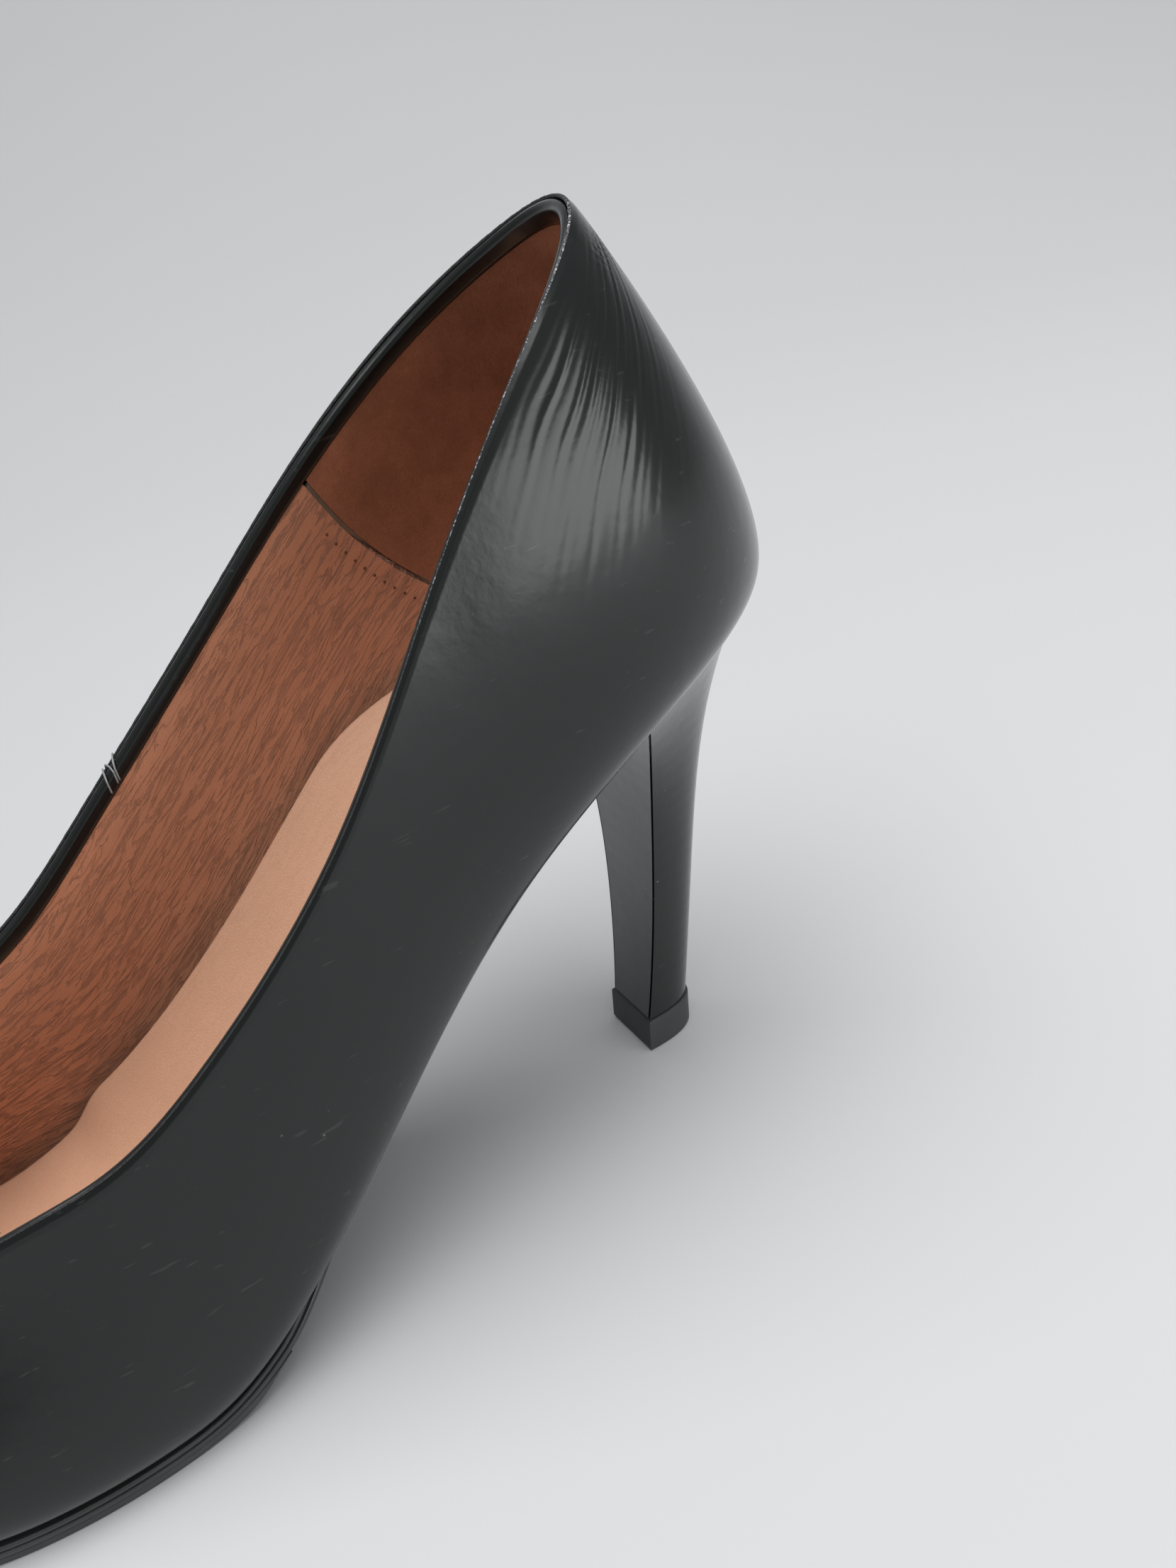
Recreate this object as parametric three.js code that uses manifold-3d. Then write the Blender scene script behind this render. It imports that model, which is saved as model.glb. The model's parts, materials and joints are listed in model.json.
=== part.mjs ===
// Left high heel court pump in patent leather, as an assembly of its separate shop pieces.
// Millimetres, +Z up, toe towards -Y, outer side of the foot towards +X, standing on Z = 0.
// The origin is on the floor, under the middle of the shoe's bounding box.
// The functions below place points as (x, s, z): x outwards, s along the floor from heel to toe.
import * as THREE from "three";
import { mergeVertices } from "three/addons/utils/BufferGeometryUtils.js";
import Module from "manifold-3d";

const wasm = await Module();
wasm.setup();

// ---------- driving dimensions ----------
const LAST_LENGTH = 218; // flat sole edge, heel back to toe tip along the floor
const BALL_WIDTH = 71; // flat sole edge at the ball
const HEEL_RISE = 84; // seat at the heel's back above the ball
const TOE_SPRING = 9; // toe tip above the ball
const BACK_HEIGHT = 66; // upper's wall at the heel's back
const EDGE_ROUND = 10; // how far the wall's curve sets off sideways from the flat sole edge
const TOE_ROUND = 6; // the same at the toe, where the wall also sets off upwards
const TOE_UPRIGHT = 0.3; // by this share of its height
const SIDE_BULGE = 3; // fullness of the walls
const CLEARANCE = 0.3; // between pieces that touch

const UPPER_THICKNESS = 1.0;
const STIFFENER_THICKNESS = 0.8; // counter, interlining and toe puff
const TAPE_THICKNESS = 0.4;
const TAPE_WIDTH = 4;
const LINING_THICKNESS = 0.7;
const BINDING_THICKNESS = 0.7;
const BINDING_DEPTH = 3.6; // reach of the binding down the inside
const STIFFENER_BELOW = BINDING_THICKNESS + TAPE_WIDTH + 2 * CLEARANCE; // under the topline
const MARGIN = 8; // upper and lining turned under the insole board
const COUNTER_REACH = 72; // s of the counter's front ends
const GRIP_REACH = 62; // s where the heel grip meets the vamp lining
const MEDIAL_SEAM = 112; // s of the seam across the inner waist

const BOARD_THICKNESS = 1.6;
const SHANK_BOARD_THICKNESS = 1.2;
const SHANK_BOARD_FRONT = 134;
const FOAM_THICKNESS = 1.4;
const SOCK_THICKNESS = 0.8;
const HEEL_PAD_FRONT = 60;
const SOLE_GAP = 0.5; // cement between the lasting margin and the outsole
const OUTSOLE_THICKNESS = 2.2;
const OUTSOLE_EDGE = 2.6; // outsole beyond the flat sole edge at the forepart
const WAIST_EDGE = -1.5; // outsole short of the flat sole edge at the waist
const HALF_SOLE_THICKNESS = 1.5;
const HALF_SOLE_REAR = 126;
const HALF_SOLE_STEP = 0.5; // half sole inside the outsole's edge
const SHANK_THICKNESS = 1.2;
const SHANK_WIDTH = 9;
const SHANK_REAR = 38;
const SHANK_FRONT = 128;

const HEEL_TIP_WIDTH = 14.4;
const HEEL_TIP_DEPTH = 11.8;
const HEEL_TIP_FRONT = 41.4; // s of the tip's flat front face
const HEEL_TIP_THICKNESS = 6.6;
const HEEL_TIP_STEP = 0.4; // heel tip wider than the heel all round
const HEEL_SEAT_FRONT = 36; // s of the breast under the seat
const HEEL_CUP_EDGE = 0.8; // heel cup beyond the flat sole edge
const HEEL_WAIST_WIDTH = 19; // heel's width, breast and back at half its height
const HEEL_WAIST_FRONT = 34.2;
const HEEL_WAIST_BACK = 20.5;
const HEEL_NECK_WIDTH = 26; // the same where the cup flares
const HEEL_NECK_FRONT = 31.5;
const HEEL_NECK_BACK = 12;
const CUP_FLARE = 6; // higher is a cup that flares later
const HEEL_COVER_THICKNESS = 0.6;
const CORE_INSET = HEEL_COVER_THICKNESS + CLEARANCE; // heel's core inside its covers
const TUBE_RADIUS = 2.5;
const TUBE_BORE = 1.7;
const TUBE_LENGTH = 44;
const TUBE_LEAN = THREE.MathUtils.degToRad(9);
const TIP_PIN_RADIUS = 1.4;
const TIP_PIN_LENGTH = 16;
const TIP_PIN_HEAD_RADIUS = 3.4;
const TIP_PIN_HEAD_THICKNESS = 1.4;
const NAIL = { radius: 0.9, head: 2, headThickness: 0.8, length: 11 };
const NAIL_INSIDE = 0.6; // nail heads inside the turned margin
const NAIL_REAR = 2; // rear nails ahead of the back of that line
const NAIL_FRONT_X = 8.5;
const NAIL_FRONT = 7; // front nails behind the breast
const SCREW = { radius: 1.8, head: 3.4, headThickness: 1.1, length: 18 };
const SCREW_PLACE = 23;
const RIVET_RADIUS = 1.4;
const RIVET_HEAD_RADIUS = 2.6;
const RIVET_HEAD_THICKNESS = 0.5;
const RIVET_INSET = 7; // rivets from the shank's ends

// ---------- the last ----------
// Each row: edge s, outer x, inner x, topline s, outer x, inner x, outer height, inner height,
// fullness. s is a share of the last's length, x of the ball's width, height of the heel's back
// wall, and fullness of SIDE_BULGE.
const LAST_ROWS = [
  [1.0, -0.07, -0.07, 0.8, -0.02, -0.02, 0.57, 0.57, 1],
  [0.975, 0.125, -0.25, 0.795, 0.14, -0.18, 0.57, 0.57, 1],
  [0.91, 0.315, -0.4, 0.78, 0.27, -0.3, 0.58, 0.6, 1],
  [0.81, 0.46, -0.485, 0.74, 0.38, -0.4, 0.63, 0.71, 1.5],
  [0.69, 0.51, -0.49, 0.65, 0.43, -0.44, 0.69, 0.86, 1.5],
  [0.55, 0.425, -0.35, 0.54, 0.445, -0.445, 0.71, 0.96, 1],
  [0.4, 0.305, -0.22, 0.41, 0.45, -0.42, 0.69, 0.95, 0.6],
  [0.26, 0.325, -0.295, 0.3, 0.395, -0.375, 0.84, 0.96, 1.6],
  [0.12, 0.335, -0.33, 0.2, 0.345, -0.345, 0.99, 0.99, 4.5],
  [0.035, 0.2, -0.2, 0.115, 0.22, -0.21, 1.06, 1.03, 6],
  [0.018, 0, 0, 0.085, 0, 0, 1.08, 1.08, 6],
];
// Bottom profile of the last: s, share of the heel's rise, share of the toe spring.
const BOTTOM_ROWS = [
  [-0.1, 1.07, 0],
  [0.0, 1.0, 0],
  [0.1, 0.92, 0],
  [0.2, 0.8, 0],
  [0.3, 0.64, 0],
  [0.4, 0.41, 0],
  [0.5, 0.19, 0],
  [0.58, 0.045, 0],
  [0.63, 0, 0],
  [0.67, 0, 0],
  [0.71, 0, 0],
  [0.75, 0, 0],
  [0.79, 0, 0],
  [0.86, 0, 0.15],
  [0.93, 0, 0.5],
  [1.0, 0, 1.0],
  [1.1, 0, 1.8],
];
const BOTTOM_STACK = SOLE_GAP + OUTSOLE_THICKNESS + CLEARANCE + HALF_SOLE_THICKNESS;
const TOP_ROW = LAST_ROWS.length - 1;
const STATIONS = 2 * TOP_ROW; // round the whole last, from the toe tip by the outer side
const HEEL_U = TOP_ROW;

// Depths of the layers inwards from the upper's outer face, walls and bottom alike.
const STIFFENER_IN = UPPER_THICKNESS + CLEARANCE;
const LINING_IN = STIFFENER_IN + STIFFENER_THICKNESS + CLEARANCE;
const WALL = LINING_IN + LINING_THICKNESS;
const BOARD_UNDER = WALL + 1.5 * CLEARANCE; // the board bridges the margins' uneven ends
const BOARD_TOP = BOARD_UNDER + BOARD_THICKNESS;
const SHANK_BOARD_UNDER = BOARD_TOP + CLEARANCE;
const FOAM_UNDER = SHANK_BOARD_UNDER + SHANK_BOARD_THICKNESS + CLEARANCE;
const SOCK_UNDER = FOAM_UNDER + FOAM_THICKNESS + CLEARANCE;
// ---------- curves ----------
// Uniform cubic B-spline over rows of numbers.
function spline(rows, t, closed) {
  const i = Math.floor(t);
  const f = t - i;
  const weights = [
    (1 - f) ** 3 / 6,
    (3 * f ** 3 - 6 * f ** 2 + 4) / 6,
    (-3 * f ** 3 + 3 * f ** 2 + 3 * f + 1) / 6,
    f ** 3 / 6,
  ];
  const n = rows.length;
  const pick = (k) => rows[closed ? ((k % n) + n) % n : Math.min(n - 1, Math.max(0, k))];
  const around = [pick(i - 1), pick(i), pick(i + 1), pick(i + 2)];
  return rows[0].map((_, c) => weights.reduce((sum, w, k) => sum + w * around[k][c], 0));
}

// Where a steadily rising or falling function reaches the target between low and high.
function solve(f, low, high, target) {
  const rising = f(high) > f(low);
  for (let i = 0; i < 40; i++) {
    const mid = (low + high) / 2;
    if (f(mid) < target === rising) low = mid;
    else high = mid;
  }
  return (low + high) / 2;
}

const smooth = (t) => THREE.MathUtils.smoothstep(t, 0, 1);
const mix = THREE.MathUtils.lerp;

// Height of the last's flat bottom at s.
function bottom(s) {
  const share = s / LAST_LENGTH;
  const t = solve((q) => spline(BOTTOM_ROWS, q)[0], 0, BOTTOM_ROWS.length - 1, share);
  const [, rise, spring] = spline(BOTTOM_ROWS, t);
  return BOTTOM_STACK + HEEL_RISE * rise + TOE_SPRING * spring;
}

// A point h above the last's bottom, measured square to it.
function onBottom(x, s, h) {
  const slope = (bottom(s + 0.1) - bottom(s - 0.1)) / 0.2;
  const q = Math.hypot(1, slope);
  return new THREE.Vector3(x, s - (h * slope) / q, bottom(s) + h / q);
}

const LAST = [];
for (let k = 0; k < STATIONS; k++) {
  const outer = k <= TOP_ROW;
  const [es, ex, ix, ts, tx, tix, th, tih, full] = LAST_ROWS[outer ? k : STATIONS - k];
  LAST.push([
    es * LAST_LENGTH,
    (outer ? ex : ix) * BALL_WIDTH,
    ts * LAST_LENGTH,
    (outer ? tx : tix) * BALL_WIDTH,
    (outer ? th : tih) * BACK_HEIGHT,
    full * SIDE_BULGE,
  ]);
}

// The flat sole edge at u, moved outwards by d in plan.
function edge(u, d = 0) {
  const [s, x] = spline(LAST, u, true);
  const [s1, x1] = spline(LAST, u + 0.01, true);
  const [s0, x0] = spline(LAST, u - 0.01, true);
  const length = Math.hypot(s1 - s0, x1 - x0);
  const outS = (x1 - x0) / length;
  const outX = -(s1 - s0) / length;
  return { s: s + d * outS, x: x + d * outX, outS, outX };
}

// u of the sole edge at a given s, on the outer or the inner side.
function edgeU(s, inner, d = 0) {
  const u = solve((q) => edge(inner ? STATIONS - q : q, d).s, 0, HEEL_U, s);
  return inner ? STATIONS - u : u;
}

// The upper's outer face. t runs from -1 at the end of the lasting margin, by 0 at the
// flat sole edge, to 1 at the topline, and straight on above it.
function skin(u, t) {
  if (t < 0) {
    const e = edge(u, t * MARGIN);
    return new THREE.Vector3(e.x, e.s, bottom(e.s));
  }
  const e = edge(u);
  const [, , topS, topX, height, full] = spline(LAST, u, true);
  const foot = new THREE.Vector3(e.x, e.s, bottom(e.s));
  const top = new THREE.Vector3(topX, topS, bottom(topS) + height);
  const rise = top.z - foot.z;
  const run = Math.hypot(top.x - foot.x, top.y - foot.y);
  const toe = smooth((run / rise - 0.2) / 1.3);
  const out = new THREE.Vector3(e.outX, e.outS, 0);
  const low = foot.clone().addScaledVector(out, mix(EDGE_ROUND, TOE_ROUND, toe));
  low.z += toe * rise * TOE_UPRIGHT;
  const high = top.clone().addScaledVector(out, mix(full, run * 0.62, toe));
  high.z -= rise * mix(0.55, 0.16, toe);
  const w = Math.min(t, 1);
  const p = new THREE.CubicBezierCurve3(foot, low, high, top).getPoint(w);
  if (t > 1) p.addScaledVector(top.clone().sub(high).normalize(), (t - 1) * rise);
  return p;
}

// The point a depth below the upper's outer face.
function under(u, t, depth) {
  const du = skin(u + 0.03, t).sub(skin(u - 0.03, t));
  const dt = skin(u, t + 0.02).sub(skin(u, t - 0.02));
  const inwards = du.cross(dt).normalize();
  return skin(u, t).addScaledVector(inwards, depth);
}

// t of the point on the wall that lies a distance below the topline.
function below(u, distance) {
  const top = skin(u, 1);
  return solve((t) => skin(u, t).distanceTo(top), 1, 0.3, distance);
}

// ---------- solids ----------
const FRAME = new THREE.Matrix4().makeScale(1, -1, 1); // s becomes -Y

function oriented(geometry) {
  const p = geometry.attributes.position;
  const index = Array.from(geometry.index.array);
  const at = (k) => new THREE.Vector3().fromBufferAttribute(p, index[k]);
  let volume = 0;
  for (let k = 0; k < index.length; k += 3) volume += at(k).dot(at(k + 1).cross(at(k + 2)));
  if (volume < 0) {
    for (let k = 0; k < index.length; k += 3) [index[k], index[k + 1]] = [index[k + 1], index[k]];
  }
  geometry.setIndex(index);
  return geometry;
}

function geometryFrom(points, faces) {
  const geometry = new THREE.BufferGeometry();
  const numbers = points.flatMap((p) => p.toArray());
  geometry.setAttribute("position", new THREE.Float32BufferAttribute(numbers, 3));
  geometry.setIndex(faces.flat());
  return oriented(geometry.applyMatrix4(FRAME));
}

// A closed slab between two faces, each a grid of columns x rows points.
function slab(columns, rows, face, back, ring = false) {
  const points = [];
  const faces = [];
  const id = (side, i, j) => ((i % columns) * rows + j) * 2 + side;
  for (let i = 0; i < columns; i++) {
    for (let j = 0; j < rows; j++) points.push(face(i, j), back(i, j));
  }
  const quad = (a, b, c, d) => faces.push([a, b, c], [a, c, d]);
  const last = ring ? columns : columns - 1;
  for (let i = 0; i < last; i++) {
    for (let j = 0; j < rows - 1; j++) {
      quad(id(0, i, j), id(0, i + 1, j), id(0, i + 1, j + 1), id(0, i, j + 1));
      quad(id(1, i, j), id(1, i, j + 1), id(1, i + 1, j + 1), id(1, i + 1, j));
    }
    quad(id(0, i, 0), id(1, i, 0), id(1, i + 1, 0), id(0, i + 1, 0));
    quad(id(0, i, rows - 1), id(0, i + 1, rows - 1), id(1, i + 1, rows - 1), id(1, i, rows - 1));
  }
  for (let j = 0; j < rows - 1 && !ring; j++) {
    quad(id(0, 0, j), id(0, 0, j + 1), id(1, 0, j + 1), id(1, 0, j));
    quad(id(0, last, j), id(1, last, j), id(1, last, j + 1), id(0, last, j + 1));
  }
  return geometryFrom(points, faces);
}

// A closed body through rings of points: closed flat at both ends, or round to its start.
function stack(rings, hoop = false) {
  const points = rings.flat();
  const n = rings[0].length;
  const faces = [];
  const last = hoop ? rings.length : rings.length - 1;
  for (let k = 0; k < last; k++) {
    for (let i = 0; i < n; i++) {
      const next = (i + 1) % n;
      const above = ((k + 1) % rings.length) * n;
      faces.push([k * n + i, k * n + next, above + next], [k * n + i, above + next, above + i]);
    }
  }
  for (const k of hoop ? [] : [0, last]) {
    const centre = points.length;
    points.push(rings[k].reduce((sum, p) => sum.add(p), new THREE.Vector3()).divideScalar(n));
    for (let i = 0; i < n; i++) {
      const next = (i + 1) % n;
      faces.push(k === 0 ? [k * n + next, k * n + i, centre] : [k * n + i, k * n + next, centre]);
    }
  }
  return geometryFrom(points, faces);
}

// Columns that every layer of the wall shares, closer at the toe, the ball's bend and the heel.
const COLUMNS = [];
const close = (u) => u < 2.4 || (u > 3.9 && u < 5.9) || u > 7.4;
for (let u = 0; u < HEEL_U; u += close(u) ? 0.25 : 0.5) COLUMNS.push(u);
COLUMNS.push(...COLUMNS.map((u) => u + HEEL_U));
const NEAR = 0.1; // a shared column this close to a piece's end is left out

function columnsFrom(from, to) {
  const inside = [-STATIONS, 0, STATIONS]
    .flatMap((turn) => COLUMNS.map((u) => u + turn))
    .filter((u) => u > from + NEAR && u < to - NEAR);
  return [from, ...inside, to];
}

// Rows of the wall from the lasting margin's end upwards, closer round the sole edge. Rows
// are values of t, or functions of u near the topline.
const LOW_ROWS = [-1, 0, 0.1, 0.21, 0.34, 0.48];
const HIGH_ROWS = [0.64, 0.82, (u) => below(u, STIFFENER_BELOW)];

// Part of one of the upper's layers.
function layer({ from, to, rows, depth, thickness }) {
  const us = columnsFrom(from, to);
  const t = (u, row) => (typeof row === "function" ? row(u) : row);
  const at = (d) => (i, j) => under(us[i], t(us[i], rows[j]), d);
  return slab(us.length, rows.length, at(depth), at(depth + thickness));
}

// Columns that every plate shares, and closer ones at a plate's own ends.
const PLATE_STEP = 7;
const END_STEPS = [0, 0.7, 2.2, 4.8];
function plateColumns(rear, front) {
  const ends = [...END_STEPS.map((d) => rear + d), ...END_STEPS.map((d) => front - d)];
  const reach = END_STEPS.at(-1) + 1;
  const first = Math.ceil((rear + reach) / PLATE_STEP);
  const count = Math.floor((front - reach) / PLATE_STEP) - first + 1;
  const shared = Array.from({ length: count }, (_, i) => (first + i) * PLATE_STEP);
  return [...ends, ...shared].sort((a, b) => a - b);
}

// A plate that follows the last's bottom between two s, within the sole edge moved by reach(s).
function plate({ rear, front, reach, low, top }) {
  const across = [-1, -0.5, 0, 0.5, 1];
  const grid = plateColumns(rear, front).map((s) => {
    const d = reach(s);
    const outer = edge(edgeU(s, false, d), d).x;
    const inner = edge(edgeU(s, true, d), d).x;
    return across.map((a) => [mix(inner, outer, (a + 1) / 2), s]);
  });
  const face = (height) => (i, j) => onBottom(...grid[i][j], height(grid[i][j][1]));
  return slab(grid.length, across.length, face(low), face(top));
}

// The heights of a plate's two faces above the last's bottom.
const level = (low, thickness) => ({ low: () => low, top: () => low + thickness });

const END = 0.5; // plates stop this far short of closing to a point
const rearEnd = (d) => edge(HEEL_U, d).s + END;
const frontEnd = (d) => edge(0, d).s - END;

function manifold(geometry) {
  const bare = geometry.clone();
  for (const name of ["normal", "uv"]) bare.deleteAttribute(name);
  const merged = mergeVertices(bare, 1e-4);
  const mesh = new wasm.Mesh({
    numProp: 3,
    vertProperties: merged.attributes.position.array,
    triVerts: new Uint32Array(merged.index.array),
  });
  return new wasm.Manifold(mesh);
}

function cut(geometry, ...tools) {
  let solid = manifold(geometry);
  for (const tool of tools) solid = solid.subtract(manifold(tool));
  const mesh = solid.getMesh();
  const result = new THREE.BufferGeometry();
  result.setAttribute("position", new THREE.Float32BufferAttribute(mesh.vertProperties, 3));
  result.setIndex(Array.from(mesh.triVerts));
  return result;
}

// A turned piece whose axis passes through (x, s, z), its top leaning forwards by lean.
// The profile's rows are [radius, height], from the axis round to the axis or closed on itself.
function turned(profile, { x, y: s, z }, lean = 0, segments = 16) {
  const outline = profile.map(([r, h]) => new THREE.Vector2(r, h));
  const geometry = new THREE.LatheGeometry(outline, segments);
  geometry.rotateX(Math.PI / 2 + lean);
  geometry.translate(x, -s, z);
  return oriented(geometry);
}

const rod = (radius, low, high) => [[0, low], [radius, low], [radius, high], [0, high]];

const shoe = new THREE.Group();
function add(name, geometry, [color, roughness, metalness = 0]) {
  const material = new THREE.MeshStandardMaterial({ color, roughness, metalness });
  const mesh = new THREE.Mesh(geometry, material);
  mesh.name = name;
  shoe.add(mesh);
}

const PATENT = [0x0c1011, 0.12];
const LEATHER = [0xa2613f, 0.55];
const SUEDE = [0x6b3622, 0.85];
const FIBRE = [0x9c8b74, 0.85];
const FOAM = [0xd9d0bd, 0.9];
const STEEL = [0xb4b7ba, 0.35, 1];
const PLASTIC = [0x2a2c2e, 0.4];
const RUBBER = [0x17181a, 0.6];

// ---------- upper ----------
const seamU = edgeU(MEDIAL_SEAM, true);
const HALF_SEAM = 0.006; // half of a closed seam's gap, in stations
const outer = {
  depth: 0, thickness: UPPER_THICKNESS,
  rows: [...LOW_ROWS, ...HIGH_ROWS, (u) => below(u, BINDING_THICKNESS + CLEARANCE)],
};
add("upper_vamp", layer({ from: seamU + HALF_SEAM - STATIONS, to: HEEL_U - HALF_SEAM, ...outer }), PATENT);
add("upper_medial_quarter", layer({ from: HEEL_U + HALF_SEAM, to: seamU - HALF_SEAM, ...outer }), PATENT);

// The binding wraps the cut edges: its cap lies on the upper, its leg in line with the lining.
const BINDING_SECTION = [
  [0, 0],
  [BINDING_THICKNESS, 0],
  [BINDING_THICKNESS, LINING_IN],
  [BINDING_DEPTH, LINING_IN],
  [BINDING_DEPTH, WALL],
  [0, WALL],
];
const bindingRing = (u) => BINDING_SECTION.map(([down, depth]) => under(u, below(u, down), depth));
add("topline_binding", stack(COLUMNS.map(bindingRing), true), PATENT);
const tapeDepth = STIFFENER_IN + (STIFFENER_THICKNESS - TAPE_THICKNESS) / 2;
const tapeTop = BINDING_THICKNESS + CLEARANCE;
const tapeRing = (u) => [
  under(u, below(u, tapeTop), tapeDepth),
  under(u, below(u, tapeTop + TAPE_WIDTH), tapeDepth),
  under(u, below(u, tapeTop + TAPE_WIDTH), tapeDepth + TAPE_THICKNESS),
  under(u, below(u, tapeTop), tapeDepth + TAPE_THICKNESS),
];
add("topline_tape", stack(COLUMNS.map(tapeRing), true), FIBRE);

// Counter, interlining and toe puff share one level between upper and lining.
const stiffener = {
  depth: STIFFENER_IN, thickness: STIFFENER_THICKNESS, rows: [...LOW_ROWS, ...HIGH_ROWS],
};
const counterU = edgeU(COUNTER_REACH, false);
const counterInnerU = edgeU(COUNTER_REACH, true);
const BUTT = 0.04; // gap between butted pieces, in stations
add("heel_counter", layer({ from: counterU, to: counterInnerU, ...stiffener }), FIBRE);
const PUFF_END = 2.9; // u where the toe puff and the backer above it end on both sides
const PUFF_TOP = 0.6; // t of the toe puff's rear edge
const PUFF_GAP = 0.02; // between puff and backer, in t
add("toe_puff", layer({
  from: -PUFF_END, to: PUFF_END, ...stiffener, rows: [...LOW_ROWS, PUFF_TOP],
}), FIBRE);
add("vamp_backer", layer({
  from: -PUFF_END, to: PUFF_END, ...stiffener, rows: [PUFF_TOP + PUFF_GAP, ...HIGH_ROWS],
}), FIBRE);
add("interlining_outer", layer({ from: PUFF_END + BUTT, to: counterU - BUTT, ...stiffener }), FIBRE);
add("interlining_inner", layer({
  from: counterInnerU + BUTT, to: STATIONS - PUFF_END - BUTT, ...stiffener,
}), FIBRE);

const lining = {
  depth: LINING_IN, thickness: LINING_THICKNESS,
  rows: [...LOW_ROWS, ...HIGH_ROWS, (u) => below(u, BINDING_DEPTH + CLEARANCE)],
};
const gripU = edgeU(GRIP_REACH, false);
const gripInnerU = edgeU(GRIP_REACH, true);
add("heel_grip_lining", layer({ from: gripU, to: gripInnerU, ...lining }), SUEDE);
add("vamp_lining", layer({ from: gripInnerU + BUTT - STATIONS, to: gripU - BUTT, ...lining }), LEATHER);

// ---------- inside the bottom ----------
// Plates inside the shoe stop short of the lining at the height of their top: by EDGE_GAP at
// the sides, and more at the toe, where the wall leans in over them.
const EDGE_GAP = 1.3;
const TOE_LEAN = 1; // extra gap at the toe for every millimetre above the lining
function inside(top) {
  const lean = (s) => TOE_LEAN * smooth((s / LAST_LENGTH - 0.62) / 0.38);
  const reach = (s) => -EDGE_GAP - lean(s) * (top - WALL);
  const front = solve((s) => s - frontEnd(reach(s)), 0.8 * LAST_LENGTH, LAST_LENGTH, 0);
  return { rear: rearEnd(-EDGE_GAP), front, reach };
}
const slopeAt = (s) => Math.atan((bottom(s - 1) - bottom(s + 1)) / 2);

// A headed fastener hanging from height 0, grown by g where it is a hole's tool.
const headed = ({ radius, head, headThickness, length }, g = 0) => [
  [0, -length - g],
  [radius + g, -length - g],
  [radius + g, -headThickness - g],
  [head + g, -headThickness - g],
  [head + g, g],
  [0, g],
];
const SUNK = 0.4; // fastener heads below the insole board's top
const fastener = (kind, x, s, g) => turned(headed(kind, g), onBottom(x, s, BOARD_TOP - SUNK), slopeAt(s), 12);
const nailLine = -(MARGIN + NAIL.head + NAIL_INSIDE);
const nailPlaces = [
  [NAIL_FRONT_X, HEEL_SEAT_FRONT - NAIL_FRONT],
  [-NAIL_FRONT_X, HEEL_SEAT_FRONT - NAIL_FRONT],
  ...[false, true].map((inner) => {
    const e = edge(edgeU(edge(HEEL_U, nailLine).s + NAIL_REAR, inner, nailLine), nailLine);
    return [e.x, e.s];
  }),
];
const fasteners = (g) => [
  ...nailPlaces.map(([x, s]) => fastener(NAIL, x, s, g)),
  fastener(SCREW, 0, SCREW_PLACE, g),
];

const rivetPlaces = [SHANK_REAR + RIVET_INSET, SHANK_FRONT - RIVET_INSET];
const SHANK_UNDER = BOARD_UNDER - CLEARANCE - SHANK_THICKNESS;
const rivetBottom = SHANK_UNDER - CLEARANCE - RIVET_HEAD_THICKNESS;
const rivetTop = BOARD_TOP - CLEARANCE;
const rivetProfile = (g) => [
  [0, rivetBottom - g],
  [RIVET_HEAD_RADIUS + g, rivetBottom - g],
  [RIVET_HEAD_RADIUS + g, rivetBottom + RIVET_HEAD_THICKNESS + g],
  [RIVET_RADIUS + g, rivetBottom + RIVET_HEAD_THICKNESS + g],
  [RIVET_RADIUS + g, rivetTop - RIVET_HEAD_THICKNESS - g],
  [RIVET_HEAD_RADIUS + g, rivetTop - RIVET_HEAD_THICKNESS - g],
  [RIVET_HEAD_RADIUS + g, rivetTop + g],
  [0, rivetTop + g],
];
const rivet = (s, g) => turned(rivetProfile(g), onBottom(0, s, 0), slopeAt(s), 12);
const rivets = (g) => rivetPlaces.map((s) => rivet(s, g));

add("insole_board", cut(
  plate({ ...inside(BOARD_TOP), ...level(BOARD_UNDER, BOARD_THICKNESS) }),
  ...fasteners(CLEARANCE), ...rivets(CLEARANCE),
), FIBRE);
add("shank_board", plate({
  ...inside(FOAM_UNDER), front: SHANK_BOARD_FRONT, ...level(SHANK_BOARD_UNDER, SHANK_BOARD_THICKNESS),
}), FIBRE);

function strip(x0, x1, rear, front, low, thickness, columns) {
  const at = (h) => (i, j) => onBottom(j ? x1 : x0, mix(rear, front, i / (columns - 1)), h);
  return slab(columns, 2, at(low), at(low + thickness));
}
add("steel_shank", cut(
  strip(-SHANK_WIDTH / 2, SHANK_WIDTH / 2, SHANK_REAR, SHANK_FRONT, SHANK_UNDER, SHANK_THICKNESS, 16),
  ...rivets(CLEARANCE),
), STEEL);
add("shank_rivet_rear", rivet(rivetPlaces[0], 0), STEEL);
add("shank_rivet_front", rivet(rivetPlaces[1], 0), STEEL);

const FILLER_EDGE = -MARGIN - 1;
const FILLER_THICKNESS = BOARD_UNDER - CLEARANCE;
add("bottom_filler", plate({
  rear: SHANK_FRONT + CLEARANCE + 1, front: frontEnd(FILLER_EDGE), reach: () => FILLER_EDGE,
  ...level(0, FILLER_THICKNESS),
}), FOAM);
add("seat_filler", cut(plate({
  rear: rearEnd(FILLER_EDGE), front: HEEL_SEAT_FRONT - CORE_INSET, reach: () => FILLER_EDGE,
  ...level(0, FILLER_THICKNESS),
}), ...fasteners(CLEARANCE)), FOAM);

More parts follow.
